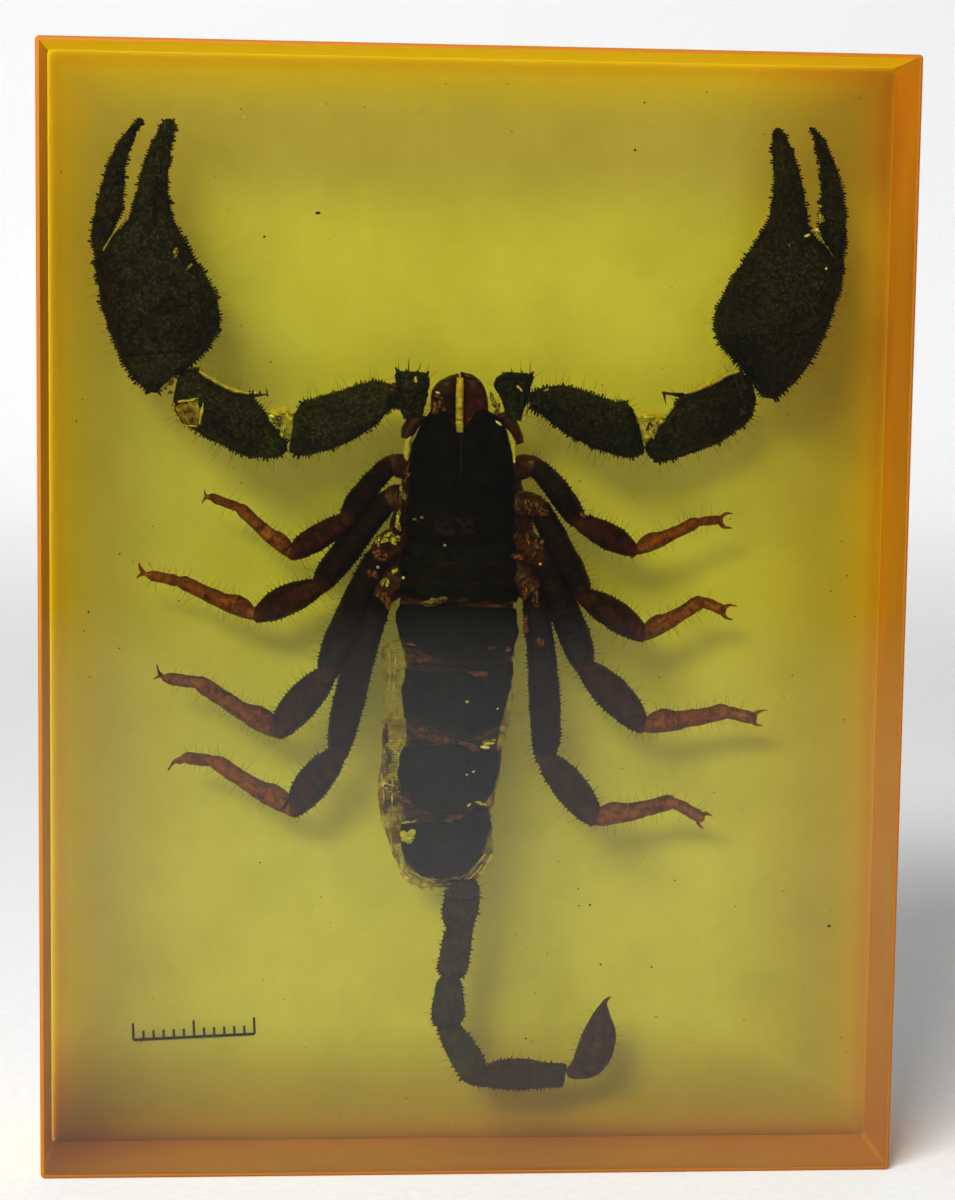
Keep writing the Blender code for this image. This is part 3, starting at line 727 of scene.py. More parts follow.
# -------------------------------------------------------------- back plates
# Seven hard plates that lie on the trunk like tiles, each free at its rear edge, which is bowed
# towards the tail. Each row has the height of its front edge at three places and of its rear edge
# at five, from left to right, and then its left and right x at the front and at the rear.
PLATES = [
    ((60.9, 61.3, 60.9), (58.9, 58.6, 58.5, 58.6, 58.9), -6.6, 3.7, -6.9, 3.9),
    ((59.3, 59.4, 59.3), (57.1, 56.8, 56.5, 56.6, 56.9), -6.9, 3.9, -7.1, 4.1),
    ((57.4, 57.4, 57.4), (55.4, 55.1, 55.2, 55.0, 54.9), -7.1, 4.1, -7.2, 4.1),
    ((54.7, 54.6, 54.3), (51.4, 50.0, 48.9, 48.5, 49.8), -7.2, 4.1, -7.1, 3.9),
    ((48.4, 48.0, 49.2), (43.7, 43.2, 42.5, 41.9, 42.9), -6.4, 3.9, -6.6, 2.6),
    ((40.8, 41.1, 40.4), (36.1, 35.0, 34.4, 34.8, 35.5), -6.6, 2.7, -6.8, 1.7),
    ((33.2, 33.8, 34.8), (29.4, 28.2, 28.0, 28.3, 29.6), -6.8, 1.8, -6.2, 1.0),
]
PLATE_THICKNESS = 0.24
PLATE_RISE = 2.8
PLATE_DEPTH = 0.75
RIM_SHARE = 0.06
PLATE_BULGE = 0.7

# Plate cuticle: black with a faint olive cast, and a leathery grain of 0.25 mm.
plate_cuticle = chitin("black_leathery_cuticle", "#030303", "#141410", grain=0.25, patch=1.6, dents=0.6,
                       gloss=0.015)
# Rim cuticle: the free edge is thin, so it is dark red.
rim_cuticle = chitin("dark_red_thin_cuticle", "#0A0605", "#26110C", patch=1.0, roughness=0.45)


def reading(values, share):
    """Evenly spaced values read smoothly at a share from 0 to 1."""
    at = min(max(share, 0.0), 0.9999) * (len(values) - 1)
    near = [values[min(max(int(at) + shift, 0), len(values) - 1)] for shift in (-1, 0, 1, 2)]
    return smooth_step(*near, at - int(at))


def dome(shape, columns, ranks, surface):
    """A thin plate: a fine grid whose points are laid on surface(across, back), both from 0 to 1."""
    rim = mark(shape, "end")
    made = bmesh.ops.create_grid(shape, x_segments=columns, y_segments=ranks, size=0.5)["verts"]
    for vert in made:
        across, back = vert.co.x + 0.5, 0.5 - vert.co.y
        vert[rim] = max(0.0, 1 - (1 - back) / RIM_SHARE / 2)
        vert.co = Vector(surface(across, back))
    bmesh.ops.recalc_face_normals(shape, faces=shape.faces)
    if sum(face.normal.y for face in shape.faces) > 0:
        bmesh.ops.reverse_faces(shape, faces=shape.faces)


for count, (fronts, rears, left_front, right_front, left_rear, right_rear) in enumerate(PLATES):

    def plate_surface(across, back):
        left = left_front + (left_rear - left_front) * back
        right = right_front + (right_rear - right_front) * back
        arch = math.sqrt(max(0.0, 1 - 0.9 * abs(2 * across - 1) ** 2.2))
        rise = (PLATE_RISE - 0.15 * max(0, count - 3)) * arch
        bulge = PLATE_BULGE * math.sin(math.pi * min(1.0, back * 1.1))
        x = left + across * (right - left) + (across - 0.5) * bulge
        front, rear = reading(fronts, across), reading(rears, across)
        z = front + (rear - front) * back
        rumple = Vector((x, z, count * 7.0))
        return (x + 0.25 * noise.noise(rumple / 1.3), specimen_y + PLATE_DEPTH - rise - 0.3 * back
                + 0.12 * noise.noise(rumple / 1.7), z + 0.3 * back * noise.noise(rumple / 1.1))

    tile = bmesh.new()
    dome(tile, 60, 24, plate_surface)
    for face in tile.faces:
        face.material_index = 1 if sum(vert[mark(tile, "end")] for vert in face.verts) > 1.4 else 0
    bmesh.ops.solidify(tile, geom=tile.faces[:], thickness=PLATE_THICKNESS)
    specimen_piece(f"back_plate_{count + 1}", tile, [plate_cuticle, rim_cuticle], rough=0.04, granule=0.6)


# --------------------------------------------------------------- flank skin
# The soft skin of the flanks, which shrank away from the trunk on the left and at the end. It is
# thin, pale ochre and creased, with a few hard folds where it is bunched up at the tail.
SIDE_FILM = [
    (-8.1, 50.9, -6.6, 51.0, 0.3), (-8.8, 49.8, -5.6, 49.8, 0.6), (-8.5, 46.4, -5.4, 46.4, 0.7),
    (-8.7, 43.2, -5.4, 43.2, 0.7), (-8.6, 40.4, -5.4, 40.4, 0.7), (-9.0, 37.2, -5.4, 37.2, 0.7),
    (-8.8, 34.4, -5.0, 34.4, 0.7), (-8.0, 31.4, 0.8, 32.0, 0.8), (-7.1, 29.2, 2.2, 30.6, 0.8),
    (-6.3, 27.7, 1.6, 28.7, 0.6), (-4.8, 26.8, 0.2, 27.1, 0.3),
]
RIGHT_FILM = [
    (3.2, 50.0, 4.0, 50.0, 0.3), (3.2, 46.0, 3.95, 45.6, 0.4), (2.4, 41.6, 3.2, 41.4, 0.4),
    (1.6, 38.0, 2.7, 37.8, 0.4), (1.2, 34.0, 2.1, 34.0, 0.4), (0.8, 31.0, 2.2, 31.0, 0.3),
]
AGED_BELOW = (45.0, 37.0)
SIDE_FILM_BEHIND = 0.6
RIGHT_FILM_BEHIND = 0.5
FOLDS_AHEAD = 0.4
FOLDS = [
    (-6.9, 28.8, -2.3, 26.9, 0.1, -0.75), (-6.4, 28.6, -2.0, 27.3, 0.07, -0.6),
    (-6.0, 28.7, -1.2, 27.9, 0.08, -0.5), (1.5, 30.3, -1.9, 27.3, 0.12, 0.25),
    (0.9, 29.7, -0.6, 27.7, 0.1, 0.1), (1.9, 29.6, -0.2, 27.3, 0.08, 0.3),
    (-7.2, 30.6, -6.3, 28.0, 0.09, -0.15), (-6.6, 28.3, -3.0, 26.7, 0.14, -0.6),
    (-5.6, 27.7, -1.0, 27.0, 0.13, -0.4), (2.1, 30.2, 0.4, 27.9, 0.13, 0.2),
    (1.2, 29.2, -1.6, 27.2, 0.11, 0.35), (-8.7, 38.2, -8.5, 33.0, 0.08, 0.15),
    (-7.6, 38.0, -7.5, 32.6, 0.07, -0.1), (-8.6, 37.3, -7.0, 36.6, 0.12, 0.1),
    (-8.2, 36.6, -7.1, 35.9, 0.1, 0.1), (-8.1, 50.2, -8.3, 45.0, 0.06, 0.2),
    (-7.4, 49.8, -7.5, 43.5, 0.05, -0.15), (-8.6, 35.6, -7.6, 30.5, 0.07, 0.2),
]

# Flank skin: about half clear, pale ochre and browned in blots of 2 mm. Its outline is painted
# darker, as shade for the skin seen edge-on. It is browner and clearer towards the tail, all of it
# below 37 mm.
flank_skin, tree, shader, where = new_material("pale_ochre_flank_skin", roughness=0.4,
                                               specular_ior_level=0.1)
blots = add_node(tree, "TexNoise", {"Vector": where, "Scale": 520.0, "Detail": 6.0, "Roughness": 0.75})
place = add_node(tree, "SeparateXYZ", {"Vector": where})
lower = add_node(tree, "MapRange", {"Value": place.outputs["Z"], "From Min": AGED_BELOW[0] * MM,
                                    "From Max": AGED_BELOW[1] * MM, "To Min": 0.04, "To Max": -0.06})
aged = add_node(tree, "Math", {0: blots, 1: lower})
tint = add_node(tree, "ValToRGB", {"Fac": aged}, [(0.38, "#3A2210"), (0.45, "#8A5A28"), (0.5, "#E8CC5C"),
                                                  (0.6, "#FFFBC0")])
# Painted shade along the outline, where the skin is seen edge-on.
edge = add_node(tree, "Attribute", attribute_name="edge")
mix = add_node(tree, "Mix", {0: edge.outputs["Fac"], 6: tint, 7: linear("#A8843C")}, data_type="RGBA")
clear = add_node(tree, "MapRange", {"Value": aged, "From Min": 0.4, "From Max": 0.55, "To Min": 0.75,
                                    "To Max": 0.08})
creases = add_node(tree, "TexWave", {"Vector": where, "Scale": 260.0, "Distortion": 9.0, "Detail": 3.0},
                   bands_direction="X")
fold = add_node(tree, "Bump", {"Height": creases.outputs["Fac"], "Strength": 0.7, "Distance": 0.0002})
feed(shader, {"Base Color": mix.outputs[2], "Alpha": clear, "Normal": fold})

film = bmesh.new()
loft(film, SIDE_FILM, 36, y=specimen_y + SIDE_FILM_BEHIND)
loft(film, RIGHT_FILM, 24, y=specimen_y + RIGHT_FILM_BEHIND)
specimen_piece("flank_skin", film, [flank_skin], rough=0.2, granule=0.8)

# Folded skin: the same skin, doubled and dried hard, bright where it turns.
folded_skin = chitin("pale_gold_folded_skin", "#8A6A28", "#FFF2A0", patch=0.7, roughness=0.3, dents=0.6,
                     gloss=0.5)
folds = bmesh.new()
for x0, z0, x1, z1, radius, bend in FOLDS:
    spine(folds, (x0, z0), (x1, z1), radius, bend, specimen_y - FOLDS_AHEAD)
specimen_piece("flank_folds", folds, [folded_skin], rough=0.08, granule=0.4)


# ----------------------------------------------------------------- carapace
# The shield over the head and legs: one hard plate, black and finely granular, with two rounded
# lobes and a notch in front, a furrow down the middle, dark red inside, and two small eyes.
CARAPACE_FRONT = [
    (-6.5, 63.0), (-6.3, 65.8), (-6.2, 68.2), (-5.95, 70.1), (-5.5, 71.4), (-5.0, 72.3), (-4.4, 73.15),
    (-3.6, 73.45), (-2.95, 73.2), (-2.5, 72.3), (-2.1, 71.65), (-1.6, 71.35), (-1.05, 71.65), (-0.55, 72.4),
    (-0.1, 73.1), (0.5, 73.4), (1.1, 73.3), (1.7, 73.0), (2.3, 72.4), (2.9, 71.5), (3.35, 70.0),
    (3.6, 68.4), (3.7, 65.8), (3.8, 63.0),
]
CARAPACE_REAR = 60.5
CARAPACE_RISE = 2.7
CARAPACE_THICKNESS = 0.3
EYE_RADIUS = 0.26
EYE_AHEAD = 2.3
FURROW_X = -1.5
FURROW_WIDTH = 0.26
FURROW_DEPTH = 0.22
FURROW_FROM = 62.5
RED_FURROW_FROM = 66.8
# The middle and the half size of the patch near the rear edge that has thin red flecks
THIN_AT = (-2.0, 62.3)
THIN_REACH = (1.9, 0.9)
EYES = [(-2.1, 66.6), (-0.85, 66.6)]

# Shield cuticle: thick and finely granular, so it is black and nearly matt.
shield_cuticle = chitin("black_shield_cuticle", "#040404", "#0E0D0A", patch=3.0, dents=0.5, gloss=0.01)
# Furrow cuticle: thinner, so it is dark red.
furrow_cuticle = chitin("dark_red_furrow_cuticle", "#0C0605", "#20100C", patch=1.0)


def front_edge(x):
    """How far forward the shield reaches at x."""
    for (x0, z0), (x1, z1) in zip(CARAPACE_FRONT, CARAPACE_FRONT[1:]):
        if x <= x1:
            return z0 + (z1 - z0) * (x - x0) / (x1 - x0)
    return CARAPACE_FRONT[-1][1]


def shield_surface(across, back):
    """The arched front of the shield. It falls away at the flanks, at both lobes and in the furrow."""
    left, right = CARAPACE_FRONT[0][0], CARAPACE_FRONT[-1][0]
    side = math.sin((across - 0.5) * math.pi)
    x = (left + right) / 2 + side * (right - left) / 2
    z = CARAPACE_REAR + (front_edge(x) - CARAPACE_REAR) * (1 - back)
    away = (x - FURROW_X) / FURROW_WIDTH
    arch = math.sqrt(max(0.0, 1 - 0.97 * side * side)) * (1 - 0.5 * (1 - back) ** 8)
    furrow = FURROW_DEPTH * math.exp(-away * away) * min(1.0, max(0.0, (z - FURROW_FROM) / 3))
    rumple = 0.1 * noise.noise(Vector((x, z, 3.0)) / 1.6)
    return x, specimen_y + 0.35 - CARAPACE_RISE * arch + furrow + rumple, z


shield = bmesh.new()
dome(shield, 110, 90, shield_surface)
for face in shield.faces:
    middle = face.calc_center_median()
    furrowed = abs(middle.x - FURROW_X) < FURROW_WIDTH * 0.5 and middle.z > RED_FURROW_FROM
    beside, above = abs(middle.x - THIN_AT[0]), abs(middle.z - THIN_AT[1])
    thin = beside < THIN_REACH[0] and above < THIN_REACH[1] and noise.noise(middle * 2.0) > 0
    face.material_index = 1 if furrowed or thin else 0
bmesh.ops.solidify(shield, geom=shield.faces[:], thickness=CARAPACE_THICKNESS)
for x, z in EYES:
    made = bmesh.ops.create_uvsphere(shield, u_segments=16, v_segments=10, radius=EYE_RADIUS)["verts"]
    bmesh.ops.translate(shield, vec=(x, specimen_y - EYE_AHEAD, z), verts=made)
specimen_piece("carapace", shield, [shield_cuticle, furrow_cuticle], rough=0.06, granule=0.4)


# --------------------------------------------------------------- chelicerae
# The pair of small jaws in front of the head: rounded, thin-shelled and glossy, dark red-brown,
# with the pale upper lip standing between them.
LEFT_JAW = [
    (-4.1, 70.6, -1.9, 70.6, 0.8), (-4.3, 72.6, -1.75, 72.6, 1.1), (-4.35, 74.2, -1.7, 74.2, 1.2),
    (-4.2, 75.3, -1.65, 75.5, 1.1), (-3.5, 76.1, -1.6, 76.4, 0.8), (-2.6, 76.6, -1.7, 76.8, 0.3),
]
RIGHT_JAW = [
    (-1.3, 70.6, 0.8, 70.6, 0.8), (-1.35, 72.4, 1.1, 72.4, 1.1), (-1.4, 74.0, 1.2, 74.0, 1.2),
    (-1.45, 75.4, 0.95, 75.2, 1.2), (-1.5, 76.4, 0.4, 76.15, 0.9), (-1.5, 76.95, -0.4, 76.75, 0.4),
]
LIP = [
    (-1.9, 71.2, -1.2, 71.2, 0.35), (-1.98, 72.2, -1.22, 72.2, 0.45), (-1.98, 74.0, -1.25, 74.0, 0.5),
    (-1.95, 75.6, -1.25, 75.6, 0.45), (-1.9, 76.4, -1.3, 76.4, 0.3),
]
MOUTH_PIECES = {"left_jaw": (0.2, LEFT_JAW), "right_jaw": (0.2, RIGHT_JAW), "upper_lip": (-1.0, LIP)}

# Jaw cuticle: glossy and thin, black to dark red, and evenly red at its outline.
left_jaw_cuticle = chitin("dark_red_glossy_cuticle", "#0A0505", "#36140C", patch=0.7, roughness=0.3,
                          gloss=0.25, dents=0.15, rim="#4E1C10", seed=2.0)
right_jaw_cuticle = chitin("red_glossy_cuticle", "#0E0606", "#561E10", patch=0.9, roughness=0.3, gloss=0.25,
                           dents=0.15, rim="#4A1A10")
# Lip skin: soft skin that has dried, dull ochre to pale yellow.
lip_skin = chitin("ochre_soft_cuticle", "#A8923A", "#E8D872", patch=0.8, roughness=0.4)
MOUTH_MATERIALS = {"left_jaw": left_jaw_cuticle, "right_jaw": right_jaw_cuticle, "upper_lip": lip_skin}

for name, (depth, rows) in MOUTH_PIECES.items():
    jaw = bmesh.new()
    loft(jaw, rows, 32, y=specimen_y + depth)
    specimen_piece(name, jaw, [MOUTH_MATERIALS[name]], rough=0.04)


# --------------------------------------------------------------------- hips
# The plates under the head that the limbs grow from, one on each side of each leg, seen in the gaps
# beside the carapace: red-brown, uneven and partly clear.
HIPS = [
    (1.6, [(-5.2, 71.4, 2.4, 71.4, 0.6), (-6.4, 69.0, 4.0, 69.0, 1.0), (-7.1, 66.0, 4.7, 66.0, 1.2),
        (-8.1, 62.0, 5.6, 62.6, 1.2), (-8.2, 58.5, 5.6, 59.5, 1.1), (-7.0, 55.4, 3.6, 55.8, 0.8)]),
    (0.2, [(-7.15, 70.7, -6.4, 70.4, 0.6), (-7.1, 71.6, -5.8, 71.0, 1.0), (-6.5, 72.5, -5.2, 71.9, 1.0),
        (-5.9, 73.0, -4.6, 72.6, 0.8)]),
    (0.2, [(4.6, 70.3, 4.0, 70.1, 0.5), (4.45, 71.2, 3.2, 71.2, 0.9), (3.9, 72.4, 2.4, 72.0, 1.0),
        (3.3, 73.2, 1.6, 72.9, 0.8)]),
]

# Hip cuticle: smooth and thin, black to red-brown in patches of 0.8 mm, with a soft shine.
hip_cuticle = chitin("red_brown_hip_cuticle", "#080403", "#4E2010", patch=0.8, roughness=0.35, gloss=0.2)
hips = bmesh.new()
for depth, rows in HIPS:
    loft(hips, rows, 36, y=specimen_y + depth)
specimen_piece("hip_plates", hips, [hip_cuticle], rough=0.15, granule=0.9)


# --------------------------------------------------------------------- legs
# Eight walking legs, each a hip joint, femur, patella, tibia and foot with two hooked claws. The
# thick inner joints are dark brown, and the thin outer ones are clear orange-brown.
LEFT_LEGS = [
    [(-6.2, 67.5), (-7.9, 68.2), (-12.2, 62.7), (-17.5, 59.3), (-22.5, 63.8), (-25.0, 64.7), (-25.8, 65.4),
        (-26.0, 64.2)],
    [(-6.4, 64.8), (-8.3, 64.7), (-14.7, 56.4), (-20.8, 53.4), (-28.1, 56.7), (-30.9, 57.2), (-32.0, 58.4),
        (-32.2, 57.0)],
    [(-6.8, 61.0), (-9.0, 59.4), (-13.9, 48.0), (-18.7, 42.1), (-26.4, 47.0), (-29.3, 47.3), (-30.3, 48.6),
        (-30.6, 47.2)],
    [(-6.8, 58.0), (-8.9, 55.4), (-12.8, 40.3), (-17.2, 34.5), (-24.9, 39.4), (-27.6, 39.6), (-28.7, 39.3),
        (-29.2, 38.4)],
]
RIGHT_LEGS = [
    [(3.8, 67.6), (5.5, 68.2), (9.9, 62.8), (15.5, 59.9), (21.6, 62.8), (23.8, 63.0), (25.1, 63.6),
        (25.0, 62.2)],
    [(4.0, 64.4), (6.2, 64.0), (10.5, 55.7), (16.5, 51.7), (22.2, 55.1), (24.3, 54.2), (25.7, 54.6),
        (25.3, 53.3)],
    [(4.4, 60.8), (6.6, 58.8), (10.8, 48.8), (16.5, 42.8), (24.9, 44.3), (27.5, 43.6), (29.0, 44.4),
        (28.5, 42.9)],
    [(4.0, 58.2), (5.8, 55.8), (7.2, 39.8), (12.0, 33.6), (19.8, 35.4), (22.5, 33.8), (23.8, 33.9),
        (22.9, 32.7)],
]
LEG_STOUTNESS = [0.9, 1.04, 1.2, 1.18]
LEG_ARCH = [0.7, 0.4, 0.1, -0.7, -0.3, 0.5, 0.7]
FEMUR_BOW = [0.35, 0.1, 0.25, 0.4]
# Half widths above and below the line from joint to joint, at shares of each joint's length
LEG_SHAPES = {
    "hip": [(-0.3, 0.8, 0.8), (0.2, 1.3, 1.25), (0.8, 1.25, 1.2), (1.25, 0.7, 0.7)],
    "femur": [(-0.09, 0.6, 0.6), (0.0, 0.95, 0.9), (0.1, 1.1, 1.05), (0.4, 1.2, 1.2), (0.75, 1.3, 1.25),
        (0.94, 1.1, 1.0), (1.04, 0.7, 0.7)],
    "patella": [(-0.1, 0.5, 0.5), (0.04, 0.8, 0.8), (0.2, 1.2, 1.1), (0.45, 1.5, 1.25), (0.7, 1.45, 1.15),
        (0.9, 1.05, 0.85), (1.04, 0.5, 0.45)],
    "tibia": [(-0.05, 0.4, 0.35), (0.06, 0.7, 0.5), (0.16, 1.1, 0.65), (0.3, 1.15, 0.72),
        (0.44, 0.78, 0.72), (0.7, 0.66, 0.64), (0.93, 0.72, 0.6), (1.02, 0.45, 0.4)],
    "foot": [(-0.1, 0.35, 0.35), (0.15, 0.48, 0.48), (0.6, 0.5, 0.48), (0.95, 0.5, 0.45), (1.15, 0.2, 0.2)],
}
LEG_SIDES = 26
CLAW_RADIUS = 0.3
LEG_TOOTH = {"every": 0.4, "length": 0.25, "radius": 0.11}
LEG_HAIR = {"every": 0.42, "length": 1.2, "radius": 0.025}

# Leg cuticle: the thick joints are very dark brown, redder where they are thin near both ends, and
# the thin outer joints are orange-brown: partly their own colour and partly painted light, for the
# light from the board behind that passes through them.
hip_joint = chitin("red_brown_joint_cuticle", "#080403", "#54240F", patch=0.5, roughness=0.3, gloss=0.25,
                   seed=5.0)
dark_leg = chitin("dark_brown_cuticle", "#090606", "#20100C", ends="#48200F", patch=1.1, roughness=0.42,
                  dents=0.5)
leaf_leg = chitin("brown_cuticle", "#150A07", "#4A2012", ends="#552414", rim="#0E0806", patch=0.9,
                  roughness=0.38)
clear_leg = chitin("orange_brown_cuticle", "#43190B", "#A85E24", rim="#4A200E", patch=0.9, roughness=0.35,
                   dents=0.5, gloss=0.2)
LEG_MATERIALS = [hip_joint, dark_leg, leaf_leg, clear_leg, clear_leg]


def leg_rows(start, end, profile, stoutness, mirrored, bow):
    """Cross sections along one joint, with its own bulge above and below the line between its ends."""
    along = (end - start).normalized()
    up = Vector((-along.y, along.x)) * (-1 if mirrored else 1)
    rows = []
    for share, above, below in profile:
        middle = start.lerp(end, share) + up * bow * math.sin(math.pi * min(max(share, 0.0), 1.0))
        top = middle + up * above * stoutness
        low = middle - up * below * stoutness
        rows.append((top.x, top.y, low.x, low.y, (above + below) / 2 * 0.9 * stoutness))
    return rows


def lean(verts, start, end, start_y, end_y):
    """Tilts a limb in depth, so that it follows the arch of the leg."""
    run = end - start
    for vert in verts:
        share = Vector((vert.co.x - start.x, vert.co.z - start.y)).dot(run) / run.length_squared
        vert.co.y += start_y + (end_y - start_y) * min(max(share, 0.0), 1.0)


def give_material(verts, number):
    """Gives one of the leg's materials to every face at these points. Faces aren't picked by their
    number, because new ones can take the places of old ones."""
    for vert in verts:
        for face in vert.link_faces:
            face.material_index = number


for side, legs, mirrored in (("left", LEFT_LEGS, True), ("right", RIGHT_LEGS, False)):
    hairs = bmesh.new()
    for count, (joints, stoutness, bow) in enumerate(zip(legs, LEG_STOUTNESS, FEMUR_BOW)):
        leg = bmesh.new()
        ends = [Vector(joint) for joint in joints]
        for place, (name, profile) in enumerate(LEG_SHAPES.items()):
            old_verts = len(leg.verts)
            old_hairs = len(hairs.verts)
            rows = leg_rows(ends[place], ends[place + 1], profile, stoutness, mirrored,
                            bow if name == "femur" else 0)
            loft(leg, rows, LEG_SIDES, keels=3, keel_share=0.05, step=0.2)
            if name != "hip":
                for edge in (0, 2):
                    spikes(hairs, rows, edge, sides=3, spread=0.4, skip=0.3, **LEG_HAIR)
            if name in ("femur", "patella"):
                for edge in (0, 2):
                    spikes(leg, rows, edge, **LEG_TOOTH)
            for grown, old in ((leg, old_verts), (hairs, old_hairs)):
                grown.verts.ensure_lookup_table()
                lean(grown.verts[old:], ends[place], ends[place + 1], LEG_ARCH[place], LEG_ARCH[place + 1])
            give_material(leg.verts[old_verts:], place)
        old_verts = len(leg.verts)
        for tip, bend in ((ends[6], 0.3), (ends[7], -0.3)):
            spine(leg, ends[5], tip, CLAW_RADIUS, bend, specimen_y + LEG_ARCH[5])
        leg.verts.ensure_lookup_table()
        give_material(leg.verts[old_verts:], LEG_MATERIALS.index(clear_leg))
        specimen_piece(f"{side}_leg_{count + 1}", leg, LEG_MATERIALS, rough=0.09, granule=0.6)
    specimen_piece(f"{side}_leg_hairs", hairs, [bristle])


# --------------------------------------------------------------------- tail
# Five hard ringed segments, ridged lengthwise, and the sting: a smooth red-brown bulb that ends in
# a fine hooked needle.
TAIL = [
    [(-2.0, 27.7, 0.5, 27.8, 1.2), (-2.3, 26.9, 0.9, 27.0, 1.5), (-2.4, 26.1, 1.0, 26.4, 1.65),
        (-2.6, 24.8, 0.9, 24.8, 1.65), (-2.5, 23.5, 0.6, 23.6, 1.5), (-2.15, 22.85, 0.35, 22.7, 1.2),
        (-1.9, 22.4, 0.0, 22.3, 0.9)],
    [(-2.1, 22.9, 0.2, 22.8, 0.9), (-2.35, 22.5, 0.3, 22.4, 1.25), (-2.5, 22.0, 0.25, 21.8, 1.35),
        (-2.8, 20.3, 0.1, 20.3, 1.45), (-3.0, 18.9, -0.1, 18.7, 1.4), (-2.85, 18.3, -0.5, 18.0, 1.2),
        (-2.5, 17.9, -1.1, 17.7, 0.8)],
    [(-2.6, 18.2, -1.0, 18.0, 0.8), (-2.95, 17.7, -0.8, 17.6, 1.2), (-3.2, 17.0, -0.6, 17.0, 1.4),
        (-3.5, 15.4, -0.4, 15.5, 1.5), (-3.5, 13.9, -0.3, 14.1, 1.45), (-3.3, 13.2, -0.8, 13.3, 1.2),
        (-2.9, 12.9, -1.2, 12.9, 0.8)],
    [(-3.1, 13.2, -1.1, 13.3, 0.9), (-2.95, 12.7, -0.6, 12.9, 1.2), (-2.7, 11.9, 0.1, 12.3, 1.4),
        (-2.2, 10.6, 0.9, 11.1, 1.5), (-1.4, 9.1, 1.5, 10.1, 1.5), (-0.6, 7.9, 1.75, 9.3, 1.3),
        (0.1, 7.3, 1.9, 8.8, 0.9)],
    [(0.2, 7.3, 1.6, 8.8, 0.9), (0.7, 7.1, 2.1, 9.2, 1.25), (2.2, 6.9, 3.0, 9.6, 1.4),
        (4.1, 6.7, 4.4, 9.8, 1.5), (6.1, 6.7, 6.0, 9.75, 1.5), (7.7, 6.8, 7.7, 9.4, 1.45),
        (9.0, 6.85, 9.3, 9.3, 1.3), (9.45, 6.95, 9.75, 9.2, 1.0)],
]
STING = [
    (9.7, 8.6, 9.95, 7.9, 0.35), (10.05, 9.05, 10.7, 7.7, 0.9), (10.4, 9.6, 12.4, 7.85, 1.4),
    (10.9, 11.2, 13.9, 9.2, 1.65), (11.4, 12.5, 14.6, 11.2, 1.6), (12.1, 13.8, 14.5, 12.8, 1.2),
    (12.7, 14.8, 13.95, 14.3, 0.7), (13.1, 15.4, 13.7, 15.1, 0.4), (13.45, 15.75, 13.75, 15.5, 0.2),
    (13.95, 16.02, 14.1, 15.94, 0.08),
]
TAIL_TOOTH = {"every": 0.42, "length": 0.34, "radius": 0.12}
TAIL_HAIR = {"every": 0.6, "length": 1.0, "radius": 0.028}

# Ridged cuticle: rough, so it is dull dark grey with pale worn tips, and redder in the last segment.
tail_cuticle = chitin("dark_grey_ridged_cuticle", "#15140D", "#4E4A36", patch=1.6, dents=0.5,
                      ends="#2E1C12", tips=0.6)
last_cuticle = chitin("dark_red_ridged_cuticle", "#15110B", "#4E301A", patch=1.6, dents=0.5, tips=0.4)
# Sting cuticle: smoother, so it is satin, and red-brown because it is thin.
sting_cuticle = chitin("red_brown_smooth_cuticle", "#20120B", "#56321C", patch=1.2, roughness=0.38,
                       ends="#662E14")
hairs = bmesh.new()
for count, rows in enumerate(TAIL):
    segment = bmesh.new()
    loft(segment, rows, 60, keels=5, keel_share=0.14, step=0.18)
    for edge in (0, 2):
        spikes(segment, rows, edge, **TAIL_TOOTH)
        spikes(hairs, rows, edge, sides=3, spread=0.4, skip=0.5, **TAIL_HAIR)
    specimen_piece(f"tail_segment_{count + 1}", segment, [tail_cuticle if count < 4 else last_cuticle],
                   rough=0.1, granule=0.5)
bulb = bmesh.new()
loft(bulb, STING, 36)
for edge in (0, 2):
    spikes(hairs, STING[:-3], edge, sides=3, spread=0.4, skip=0.2, **TAIL_HAIR)
specimen_piece("sting", bulb, [sting_cuticle], rough=0.06, granule=0.6)
specimen_piece("tail_hairs", hairs, [bristle])


